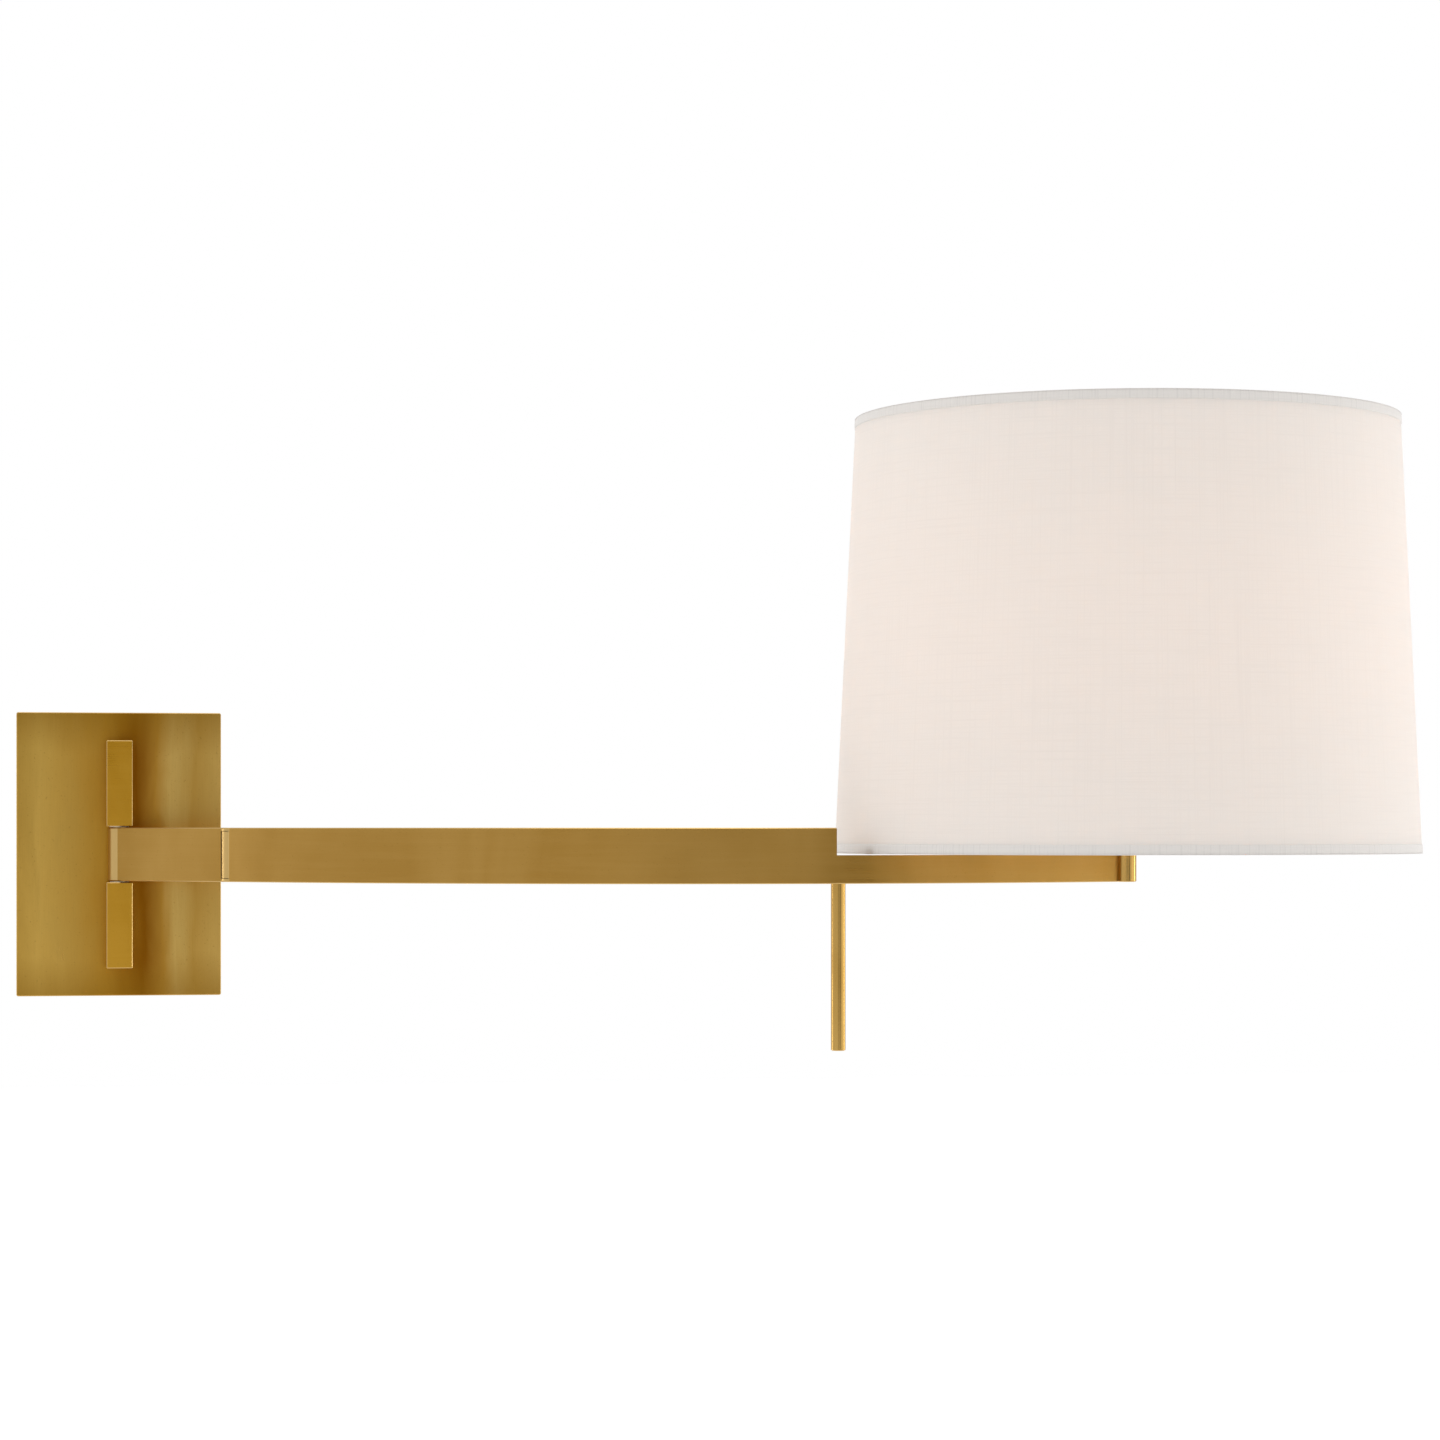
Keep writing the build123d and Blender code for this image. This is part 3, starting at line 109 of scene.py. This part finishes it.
class Paint:
    """A small builder for one procedural material around a Principled shader."""

    def __init__(self, name, **fixed):
        self.material = bpy.data.materials.new(name)
        self.material.use_nodes = True
        self.tree = self.material.node_tree
        self.nodes = self.tree.nodes
        self.links = self.tree.links
        self.shader = self.nodes["Principled BSDF"]
        self.place = self.nodes.new("ShaderNodeTexCoord").outputs["Object"]
        for socket, value in fixed.items():
            self.shader.inputs[socket.replace("_", " ")].default_value = value

    def stretch(self, scale, source=None):
        """Object coordinates, scaled by (x, y, z)."""
        node = self.nodes.new("ShaderNodeMapping")
        node.inputs["Scale"].default_value = scale
        self.links.new(source or self.place, node.inputs["Vector"])
        return node.outputs["Vector"]

    def noise(self, scale, detail=3.0, roughness=0.55, vector=None, distortion=0.0):
        """A noise value from 0 to 1."""
        node = self.nodes.new("ShaderNodeTexNoise")
        node.inputs["Scale"].default_value = scale
        node.inputs["Detail"].default_value = detail
        node.inputs["Roughness"].default_value = roughness
        node.inputs["Distortion"].default_value = distortion
        self.links.new(vector or self.place, node.inputs["Vector"])
        return node.outputs["Fac"]

    def ramp(self, value, *stops):
        """A colour ramp: stops are (position, colour)."""
        node = self.nodes.new("ShaderNodeValToRGB")
        ramp = node.color_ramp
        while len(ramp.elements) < len(stops):
            ramp.elements.new(0.5)
        for element, (position, colour) in zip(ramp.elements, stops):
            element.position = position
            element.color = (*colour, 1)
        self.links.new(value, node.inputs["Fac"])
        return node.outputs["Color"]

    def span(self, value, low, high, out_low, out_high):
        """A value carried from one range to another."""
        return add_span(self.tree, value, low, high, out_low, out_high)

    def mix(self, factor, first, second, blend="MIX"):
        """Two colours mixed by a factor, which may be a number."""
        node = self.nodes.new("ShaderNodeMix")
        node.data_type = "RGBA"
        node.blend_type = blend
        if isinstance(factor, (int, float)):
            node.inputs["Factor"].default_value = factor
        else:
            self.links.new(factor, node.inputs["Factor"])
        for socket, colour in (("A", first), ("B", second)):
            target = [s for s in node.inputs if s.name == socket and s.type == "RGBA"][0]
            if isinstance(colour, tuple):
                target.default_value = (*colour, 1)
            else:
                self.links.new(colour, target)
        return [s for s in node.outputs if s.type == "RGBA"][0]

    def maths(self, operation, first, second=None):
        """One arithmetic step on values or sockets."""
        return add_maths(self.tree, operation, first, second)

    def bump(self, height, strength, distance, after=None):
        """A bump from a height value, on top of an earlier one if given."""
        node = self.nodes.new("ShaderNodeBump")
        node.inputs["Strength"].default_value = strength
        node.inputs["Distance"].default_value = distance
        self.links.new(height, node.inputs["Height"])
        if after is not None:
            self.links.new(after, node.inputs["Normal"])
        return node.outputs["Normal"]

    def axes(self):
        """The object coordinates one by one."""
        split = self.nodes.new("ShaderNodeSeparateXYZ")
        self.links.new(self.place, split.inputs[0])
        return split.outputs

    def from_axis(self, x, y):
        """How far a place is from an upright axis."""
        squares = []
        for output, centre in zip(self.axes(), (x, y)):
            squares.append(self.maths("POWER", self.maths("SUBTRACT", output, centre), 2.0))
        return self.maths("SQRT", self.maths("ADD", *squares))

    def facing(self):
        """How squarely the surface faces along X, Y and Z, each from 0 to 1."""
        split = self.nodes.new("ShaderNodeSeparateXYZ")
        self.links.new(self.nodes.new("ShaderNodeNewGeometry").outputs["Normal"], split.inputs[0])
        return [self.maths("ABSOLUTE", output) for output in split.outputs]

    def set(self, socket, value):
        """Feeds a socket of the shader."""
        self.links.new(value, self.shader.inputs[socket])


# a brush scale from this up is the fine one, and the streaks are that much coarser
FINE_BRUSH = 100
STREAK_SHARE = 9
SPECK_TONE = 0.55


def brass(name, dark, light, rough, brush=(14, 14, 2600), cloud=(9, 9, 4), wear_and_highlight=None, lines_depth=0.14):
    """Hand-finished brass: drifting patina, faint brush lines, small specks, and paler masked places that are wear
    with painted highlights.
    """
    paint = Paint(name, Metallic=1.0)
    clouds = paint.noise(1.0, 4, 0.6, paint.stretch(cloud), 0.6)
    lines = paint.noise(1.0, 3, 0.7, paint.stretch(brush))
    coarse = tuple(scale if scale < FINE_BRUSH else scale / STREAK_SHARE for scale in brush)
    streaks = paint.noise(1.0, 2, 0.5, paint.stretch(coarse))
    specks = paint.noise(900, 2, 0.6)
    middle = tuple((d + l) / 2 for d, l in zip(dark, light))
    tone = paint.ramp(clouds, (0.32, dark), (0.50, middle), (0.68, light))
    tone = paint.mix(paint.span(lines, 0.35, 0.65, 0.0, lines_depth), tone, dark)
    tone = paint.mix(paint.span(streaks, 0.45, 0.72, 0.0, 0.25), tone, light)
    tone = paint.mix(paint.span(specks, 0.66, 0.74, 0.0, 0.35), tone, tuple(SPECK_TONE * c for c in dark))
    # pale brass on the masked rims and barrels: wear with painted highlights
    if wear_and_highlight:
        tone = paint.mix(wear_and_highlight(paint), tone, WORN_HIGHLIT_BRASS)
    paint.set("Base Color", tone)
    uneven = paint.span(clouds, 0.3, 0.7, rough - 0.04, rough + 0.06)
    paint.set("Roughness", paint.maths("ADD", uneven, paint.span(lines, 0.3, 0.7, -0.03, 0.05)))
    fine = paint.bump(lines, 0.16, 0.00003)
    paint.set("Normal", paint.bump(specks, 0.05, 0.00004, fine))
    return paint.material


def eased_edges(paint):
    """1 on the small chamfers that face neither along nor across a square piece."""
    facing = paint.facing()
    widest = paint.maths("MAXIMUM", facing[0], paint.maths("MAXIMUM", facing[1], facing[2]))
    return paint.span(widest, 0.90, 0.80, 0.0, 0.8)


def eased_rims(paint):
    """1 on the small chamfers between a bar's upright faces and its level ones."""
    level = paint.facing()[2]
    off_upright = paint.span(level, 0.3, 0.5, 0.0, 0.8)
    off_level = paint.span(level, 0.95, 0.85, 0.0, 1.0)
    return paint.maths("MULTIPLY", off_upright, off_level)


def highlit_rims_and_barrels(*axes):
    """1 on the bar's eased rims and on the round barrels about the given vertical axes, where the pale colour is
    wear and painted highlight on the rims and painted highlight on the barrels.
    """
    def mask(paint):
        found = eased_rims(paint)
        for x, y in axes:
            apart = paint.maths("ABSOLUTE", paint.maths("SUBTRACT", paint.from_axis(x, y), BARREL_R))
            found = paint.maths("MAXIMUM", found, paint.span(apart, 0.00012, 0.00030, 0.75, 0.0))
        return found
    return mask


def plate_brass(name):
    """The wall plate: upright bands of painted reflection, painted shade by the hinge blocks, and darker towards
    the top and bottom.
    """
    paint = Paint(name, Metallic=1.0)
    x, _, z = paint.axes()
    drift = paint.noise(1.0, 3, 0.55, paint.stretch((46, 46, 11)), 0.5)
    wander = paint.maths("MULTIPLY", paint.maths("SUBTRACT", drift, 0.5), 0.022)
    across = paint.maths("ADD", x, wander)
    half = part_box("backplate")[1][0]
    # painted reflections: paler and darker upright bands across the plate, darkest by the hinge blocks as painted
    # shade
    tone = paint.ramp(
        paint.span(across, -half, half, 0.0, 1.0),
        (0.00, (0.50, 0.30, 0.056)),
        (0.10, (0.59, 0.37, 0.080)),
        (0.26, (0.51, 0.30, 0.056)),
        (0.42, (0.45, 0.23, 0.026)),
        (0.52, (0.33, 0.145, 0.010)),
        (0.60, (0.23, 0.080, 0.002)),
        (0.70, (0.42, 0.215, 0.030)),
        (0.78, (0.56, 0.365, 0.100)),
        (0.88, (0.47, 0.275, 0.056)),
        (1.00, (0.55, 0.35, 0.090)),
    )
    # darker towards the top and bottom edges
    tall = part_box("backplate")[1][2]
    from_middle = paint.maths("ADD", paint.maths("ABSOLUTE", z), wander)
    edge = paint.span(from_middle, 0.72 * tall, 1.02 * tall, 0.0, 0.60)
    tone = paint.mix(edge, tone, (0.27, 0.13, 0.008))
    fine = paint.noise(1.0, 3, 0.7, paint.stretch((2200, 2200, 40)))
    specks = paint.noise(700, 2, 0.6)
    tone = paint.mix(paint.span(fine, 0.35, 0.65, 0.0, 0.10), tone, (0.24, 0.13, 0.022))
    tone = paint.mix(paint.span(specks, 0.64, 0.74, 0.0, 0.30), tone, (0.20, 0.10, 0.015))
    # paler eased chamfers: wear with painted highlights
    tone = paint.mix(eased_edges(paint), tone, WORN_HIGHLIT_BRASS)
    paint.set("Base Color", tone)
    paint.set("Roughness", paint.span(drift, 0.3, 0.7, 0.27, 0.38))
    paint.set("Normal", paint.bump(specks, 0.05, 0.00004, paint.bump(fine, 0.10, 0.00003)))
    return paint.material


def steel(name, colour, rough):
    """Zinc-plated steel: faint spangle and rolling marks."""
    paint = Paint(name, Metallic=1.0)
    spangle = paint.noise(420, 2, 0.5)
    marks = paint.noise(1.0, 3, 0.6, paint.stretch((40, 40, 900)))
    shade = tuple(0.72 * c for c in colour)
    paint.set("Base Color", paint.mix(paint.span(spangle, 0.35, 0.65, 0.0, 0.8), colour, shade))
    paint.set("Roughness", paint.span(marks, 0.3, 0.7, rough - 0.08, rough + 0.1))
    paint.set("Normal", paint.bump(marks, 0.2, 0.00005))
    return paint.material


def moulded(name, colour, rough, grain=1500, depth=0.12):
    """Moulded plastic or painted metal: slight tone drift and a fine moulding grain."""
    paint = Paint(name)
    drift = paint.noise(55, 3, 0.5)
    texture = paint.noise(grain, 2, 0.5)
    shade = tuple(0.8 * c for c in colour)
    paint.set("Base Color", paint.mix(paint.span(drift, 0.3, 0.7, 0.0, 0.7), colour, shade))
    paint.set("Roughness", paint.span(texture, 0.3, 0.7, rough - 0.06, rough + 0.08))
    paint.set("Normal", paint.bump(texture, depth, 0.00006))
    return paint.material


YARN_PITCH = 0.0011
WARP_DRIFT = 6
WEFT_DRIFT = 14


def weave_heights(paint, pitch, uv):
    """Warp, weft and slub values of a plain linen weave, from coordinates in metres along the cloth."""
    across = paint.noise(1.0, 2, 0.6, paint.stretch((1 / pitch, WARP_DRIFT, 1), uv))
    along = paint.noise(1.0, 2, 0.6, paint.stretch((WEFT_DRIFT, 1 / pitch, 1), uv))
    slub_across = paint.noise(1.0, 2, 0.5, paint.stretch((24, 520, 1), uv))
    slub_along = paint.noise(1.0, 2, 0.5, paint.stretch((640, 16, 1), uv))
    return across, along, slub_across, slub_along


def linen(name, colour, glow, through_share=0.34, ticks=0.0):
    """Off-white linen that lets light through: uneven yarns both ways, and upright gathers on a hem."""
    paint = Paint(name, Roughness=0.85, Sheen_Weight=0.25, Sheen_Roughness=0.5, Specular_IOR_Level=0.2)
    uv = paint.nodes.new("ShaderNodeTexCoord").outputs["UV"]
    across, along, slub_across, slub_along = weave_heights(paint, YARN_PITCH, uv)
    yarn = paint.maths("MAXIMUM", across, along)
    slubs = paint.maths("MAXIMUM", slub_across, slub_along)
    dark = tuple(0.93 * c for c in colour)
    tone = paint.mix(paint.span(yarn, 0.45, 0.8, 0.0, 0.55), colour, dark)
    tone = paint.mix(paint.span(slubs, 0.58, 0.78, 0.0, 0.6), tone, tuple(0.96 * c for c in colour))
    height = paint.maths("ADD", yarn, slubs)
    normal = paint.bump(height, 0.30, 0.00018)
    if ticks:
        gathers = paint.noise(1.0, 1, 0.5, paint.stretch((1 / ticks, 30, 1), uv))
        tone = paint.mix(paint.span(gathers, 0.50, 0.72, 0.0, 0.7), tone, tuple(0.88 * c for c in colour))
        normal = paint.bump(gathers, 0.35, 0.0004, normal)
    paint.set("Base Color", tone)
    paint.set("Normal", normal)
    through = paint.nodes.new("ShaderNodeBsdfTranslucent")
    paint.links.new(paint.mix(1.0, tone, glow, "MULTIPLY"), through.inputs["Color"])
    paint.links.new(normal, through.inputs["Normal"])
    both = paint.nodes.new("ShaderNodeMixShader")
    both.inputs["Fac"].default_value = through_share
    paint.links.new(paint.shader.outputs["BSDF"], both.inputs[1])
    paint.links.new(through.outputs["BSDF"], both.inputs[2])
    output = paint.nodes["Material Output"]
    paint.links.new(both.outputs["Shader"], output.inputs["Surface"])
    return paint.material


def lit_glass(name, colour, strength):
    """The frosted globe of a lamp that is switched on."""
    paint = Paint(name, Roughness=0.35)
    frost = paint.noise(700, 2, 0.5)
    skin = tuple(0.94 * c for c in colour)
    shine = tuple(0.9 * c for c in colour)
    paint.set("Base Color", paint.mix(paint.span(frost, 0.3, 0.7, 0.0, 1.0), colour, skin))
    paint.set("Normal", paint.bump(frost, 0.1, 0.00005))
    paint.set("Emission Color", paint.mix(paint.span(frost, 0.2, 0.8, 0.0, 1.0), colour, shine))
    paint.shader.inputs["Emission Strength"].default_value = strength
    return paint.material


# ---------------------------------------------------------------- materials
DARK_BRASS = (0.33, 0.175, 0.030)
LIGHT_BRASS = (0.43, 0.255, 0.066)
# pale brass for eased edges and barrels: wear plus painted highlight
WORN_HIGHLIT_BRASS = (0.60, 0.42, 0.17)
LINEN = (0.882, 0.880, 0.862)
BULB_LIGHT = (1.0, 0.66, 0.46)
BULB_STRENGTH = 18.0
WASHER_LOW, WASHER_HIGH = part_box("hinge_washers")
BARREL_PROUD = 0.00075
BARREL_R = (WASHER_HIGH[0] - WASHER_LOW[0]) / 2 + BARREL_PROUD
HINGE_AXIS = JOINTS["wall_swing"]["pos_m"][:2]
ELBOW_AXIS = JOINTS["elbow_swing"]["pos_m"][:2]
ROUND_BRASS = ((0.45, 0.255, 0.055), (0.58, 0.38, 0.120))
ROUND_BRUSH = (2600, 2600, 30)
ROUND_ROUGH = 0.11
BLOCK_BRASS = ((0.44, 0.215, 0.012), (0.54, 0.295, 0.034))
ARM_BRASS = (DARK_BRASS, LIGHT_BRASS)
FACE_ROUGH = 0.30
# the hems are the cover's linen set darker: painted shade against the extra top light on them
SHADED_TRIM_LINEN = (0.765, 0.732, 0.700)
TRIM_GATHER = 0.0014
# masks for the pale brass: painted highlights on the barrels, wear with painted highlights on the rims
LINK_HIGHLIGHT_AND_WEAR = highlit_rims_and_barrels(HINGE_AXIS, ELBOW_AXIS)
ARM_HIGHLIGHT_AND_WEAR = highlit_rims_and_barrels(ELBOW_AXIS)

FINISHES = {
    "antique_brass": brass("antique_brass", *ARM_BRASS, FACE_ROUGH),
    "turned_brass": brass("turned_brass", (0.42, 0.26, 0.07), (0.62, 0.43, 0.17), 0.26),
    "harp_wire": brass("harp_wire", (0.44, 0.29, 0.10), (0.62, 0.46, 0.20), 0.28),
    "ring_wire": brass("ring_wire", (0.46, 0.31, 0.12), (0.64, 0.48, 0.22), 0.30),
    "zinc_steel": steel("zinc_steel", (0.58, 0.58, 0.56), 0.34),
    "cap_metal": steel("cap_metal", (0.74, 0.74, 0.73), 0.28),
    "green_screw": moulded("green_screw", (0.03, 0.20, 0.06), 0.35),
    "nylon": moulded("nylon", (0.66, 0.63, 0.54), 0.45),
    "wire_black": moulded("wire_black", (0.022, 0.022, 0.024), 0.42),
    "wire_white": moulded("wire_white", (0.70, 0.69, 0.66), 0.42),
    "wire_green": moulded("wire_green", (0.02, 0.16, 0.05), 0.42),
    "connector_orange": moulded("connector_orange", (0.62, 0.14, 0.02), 0.38),
    "fibre": moulded("fibre", (0.36, 0.25, 0.13), 0.8, 700, 0.3),
    "black_phenolic": moulded("black_phenolic", (0.020, 0.017, 0.015), 0.30),
    "frosted_glass": lit_glass("frosted_glass", BULB_LIGHT, BULB_STRENGTH),
    "linen": linen("linen", LINEN, (1.0, 0.90, 0.84)),
    "linen_trim": linen("linen_trim", SHADED_TRIM_LINEN, (0.9, 0.86, 0.82), through_share=0.08, ticks=TRIM_GATHER),
    "styrene": linen("styrene", (0.86, 0.84, 0.80), (1.0, 0.93, 0.88)),
}
OWN_FINISHES = {
    "backplate": plate_brass("plate_brass"),
    # the blocks' eased chamfers are pale: wear with painted highlights
    "upper_knuckle": brass("block_brass", *BLOCK_BRASS, FACE_ROUGH, wear_and_highlight=eased_edges),
    "inner_link": brass("link_brass", *ARM_BRASS, FACE_ROUGH, wear_and_highlight=LINK_HIGHLIGHT_AND_WEAR),
    "outer_arm": brass("arm_brass", *ARM_BRASS, FACE_ROUGH, cloud=(7, 7, 3), wear_and_highlight=ARM_HIGHLIGHT_AND_WEAR),
    "handle_rod": brass("rod_brass", *ROUND_BRASS, ROUND_ROUGH, brush=ROUND_BRUSH),
    "end_post": brass("post_brass", *ROUND_BRASS, ROUND_ROUGH, brush=ROUND_BRUSH),
}
OWN_FINISHES["lower_knuckle"] = OWN_FINISHES["upper_knuckle"]


def paint_nodes():
    """Every CAD node takes its own finish where it has one, else the finish of its material slot."""
    for entry in frame["record"]["subparts"]:
        mesh = frame["nodes"][entry["node"]].data
        mesh.materials.clear()
        mesh.materials.append(OWN_FINISHES.get(entry["node"], FINISHES[entry["material_slot"]]))


paint_nodes()


# ---------------------------------------------------------------- shade
SHADE_SEGMENTS = 288
COVER_ROWS = 48
LAYER_T = 0.0006
COVER_T = 0.0013
HEM_ROWS = 10
HEM_SWELL = 0.00045
HEM_SEAT = 0.85
HEM_END = 0.9
LIP_STEPS = 8

rim_low, rim_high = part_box("bottom_trim")
hem_low, hem_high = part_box("top_trim")
AXIS_X = (rim_low[0] + rim_high[0]) / 2
AXIS_Y = (rim_low[1] + rim_high[1]) / 2
RIM_R = (rim_high[0] - rim_low[0]) / 2
RIM_Z = rim_low[2]
TOP_Z = hem_high[2]
TAPER = (RIM_R - (hem_high[0] - hem_low[0]) / 2) / (hem_low[2] - RIM_Z)


def shade_radius(z):
    """The shade's outermost radius at a height."""
    return RIM_R - TAPER * (z - RIM_Z)


def lathe(name, profile, finishes, finish_of=None):
    """A ring turned about the shade's axis from a closed profile of (inset, z), with UVs in metres."""
    mesh = bpy.data.meshes.new(name)
    build = bmesh.new()
    uv = build.loops.layers.uv.new("cloth")
    arc = 2 * math.pi * RIM_R / SHADE_SEGMENTS
    rings = []
    for inset, z in profile:
        radius = shade_radius(z) - inset
        ring = []
        for step in range(SHADE_SEGMENTS):
            angle = 2 * math.pi * step / SHADE_SEGMENTS
            place = (AXIS_X + radius * math.cos(angle), AXIS_Y + radius * math.sin(angle), z)
            ring.append(build.verts.new(place))
        rings.append(ring)
    run = 0.0
    for row, ring in enumerate(rings):
        following = (row + 1) % len(rings)
        (inset, z), (next_inset, next_z) = profile[row], profile[following]
        length = math.hypot(next_inset - inset, next_z - z)
        for step in range(SHADE_SEGMENTS):
            after = (step + 1) % SHADE_SEGMENTS
            beyond = rings[following]
            face = build.faces.new((ring[step], ring[after], beyond[after], beyond[step]))
            face.smooth = True
            face.material_index = finish_of(row) if finish_of else 0
            corners = ((step, run), (step + 1, run), (step + 1, run + length), (step, run + length))
            for loop, (along, height) in zip(face.loops, corners):
                loop[uv].uv = (along * arc, height)
        run += length
    bmesh.ops.recalc_face_normals(build, faces=build.faces)
    build.to_mesh(mesh)
    build.free()
    for finish in finishes:
        mesh.materials.append(FINISHES[finish])
    piece = bpy.data.objects.new(name, mesh)
    bpy.context.scene.collection.objects.link(piece)
    return piece


def make_cover():
    """The cover: linen outside, smooth styrene inside, between the two rims."""
    low, high = RIM_Z + LAYER_T, TOP_Z - LAYER_T
    heights = [low + (high - low) * row / COVER_ROWS for row in range(COVER_ROWS + 1)]
    outside = [(LAYER_T, z) for z in heights]
    inside = [(LAYER_T + COVER_T, z) for z in reversed(heights)]
    cover = lathe("shade_cover", outside + inside, ("linen", "styrene"), lambda row: int(row > COVER_ROWS))
    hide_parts("shade_linen", "shade_liner")
    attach(cover, "arm_body")
    return cover


def make_hem(name, node, edge_z, inward):
    """A rolled linen hem round one rim: a soft lip outside, over the edge and down inside."""
    low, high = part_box(node)
    height = high[2] - low[2]
    wrap = COVER_T + 2 * LAYER_T
    outside = []
    inside = []
    for row in range(HEM_ROWS + 1):
        share = row / HEM_ROWS
        swell = HEM_SWELL * math.sin(math.pi * share) ** 0.5 if 0 < share < 1 else 0.0
        z = edge_z + inward * (LAYER_T + share * (height - LAYER_T))
        outside.append((LAYER_T * HEM_SEAT - swell if share < 1 else LAYER_T * HEM_END, z))
        inside.append((wrap - LAYER_T * HEM_SEAT + swell if share < 1 else wrap - LAYER_T * HEM_END, z))
    lip = []
    for step in range(1, LIP_STEPS):
        angle = math.pi * step / LIP_STEPS
        lip_z = edge_z + inward * LAYER_T * (1 - math.sin(angle))
        lip.append((wrap / 2 + wrap / 2 * math.cos(angle), lip_z))
    profile = outside[::-1] + lip[::-1] + inside
    return lathe(name, profile, ("linen_trim",))


def make_hems():
    """Both hems, each standing for its CAD trim."""
    hems = []
    places = (("lower_hem", "bottom_trim", RIM_Z, 1), ("upper_hem", "top_trim", TOP_Z, -1))
    for name, node, edge, inward in places:
        hem = make_hem(name, node, edge, inward)
        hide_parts(node)
        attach(hem, "arm_body")
        hems.append(hem)
    return hems


make_cover()
make_hems()


# ---------------------------------------------------------------- stage and light
FLOOR_Z = -0.62
FLOOR_SIZE = 14.0
FLOOR_FILL = 0.20
BACK_LIGHT = 1.0
FRONT_LIGHT = 0.86
# each gap: centre in X, half-widths where it is deepest and where it ends, depth
ARM_GAP = (-0.05, 0.06, 0.24, 0.34)
ROD_GAP = (0.34, 0.05, 0.15, 0.62)
FRONT_GAPS = (ARM_GAP, ROD_GAP)
SIDE_GLOW = 0.55


def make_floor():
    """A plain pale floor well under the sconce."""
    mesh = bpy.data.meshes.new("floor")
    build = bmesh.new()
    bmesh.ops.create_grid(build, x_segments=2, y_segments=2, size=FLOOR_SIZE / 2)
    build.to_mesh(mesh)
    build.free()
    floor = bpy.data.objects.new("floor", mesh)
    floor.location = (AXIS_X / 2, 0, FLOOR_Z)
    paint = Paint("floor_paint", Roughness=0.9)
    pale = ((0.3, (0.90, 0.90, 0.90)), (0.7, (0.92, 0.92, 0.92)))
    white = ((0.3, (0.98, 0.98, 0.98)), (0.7, (1.0, 1.0, 1.0)))
    paint.set("Base Color", paint.ramp(paint.noise(3, 2), *pale))
    paint.set("Emission Color", paint.ramp(paint.noise(5, 2), *white))
    paint.shader.inputs["Emission Strength"].default_value = FLOOR_FILL
    mesh.materials.append(paint.material)
    bpy.context.scene.collection.objects.link(floor)


def make_world():
    """A pale surround: white behind the sconce, greyer in front, with two soft dark upright gaps there.

    The wide gap shades the arm's face. The narrow one, with a glow at the right, stripes the round brass.
    """
    world = bpy.data.worlds.new("surround")
    bpy.context.scene.world = world
    world.use_nodes = True
    tree = world.node_tree
    split = tree.nodes.new("ShaderNodeSeparateXYZ")
    tree.links.new(tree.nodes.new("ShaderNodeTexCoord").outputs["Generated"], split.inputs[0])
    x, y, _ = split.outputs
    level = add_span(tree, y, -0.60, 0.35, FRONT_LIGHT, BACK_LIGHT, smooth=True)
    in_front = add_span(tree, y, -0.2, -0.6, 0.0, 1.0)
    for centre, core, rim, depth in FRONT_GAPS:
        away = add_maths(tree, "ABSOLUTE", add_maths(tree, "SUBTRACT", x, centre))
        gap = add_maths(tree, "MULTIPLY", add_span(tree, away, core, rim, depth, 0.0, smooth=True), in_front)
        level = add_maths(tree, "SUBTRACT", level, gap)
    at_right = add_span(tree, x, 0.62, 0.82, 0.0, SIDE_GLOW, smooth=True)
    glow = add_maths(tree, "MULTIPLY", at_right, add_span(tree, y, 0.05, -0.15, 0.0, 1.0))
    background = tree.nodes["Background"]
    background.inputs["Color"].default_value = (1, 1, 1, 1)
    tree.links.new(add_maths(tree, "ADD", level, glow), background.inputs["Strength"])


def area_light(name, place, target, width, height, power):
    """A soft rectangular light that faces a point."""
    data = bpy.data.lights.new(name, "AREA")
    data.shape = "RECTANGLE"
    data.size = width
    data.size_y = height
    data.energy = power
    light = bpy.data.objects.new(name, data)
    light.location = place
    light.rotation_mode = "QUATERNION"
    light.rotation_quaternion = (Vector(target) - Vector(place)).to_track_quat("-Z", "Y")
    bpy.context.scene.collection.objects.link(light)


make_floor()
make_world()
middle = (AXIS_X / 2, -0.1, 0.08)
area_light("left_strip", (-1.9, 0.75, 0.1), middle, 0.30, 1.6, 5)
area_light("right_strip", (2.7, -0.05, 0.1), middle, 0.30, 1.6, 7)
area_light("top_softbox", (0.4, -0.6, 1.9), middle, 1.6, 1.2, 10)
bpy.context.scene.view_settings.view_transform = "Standard"
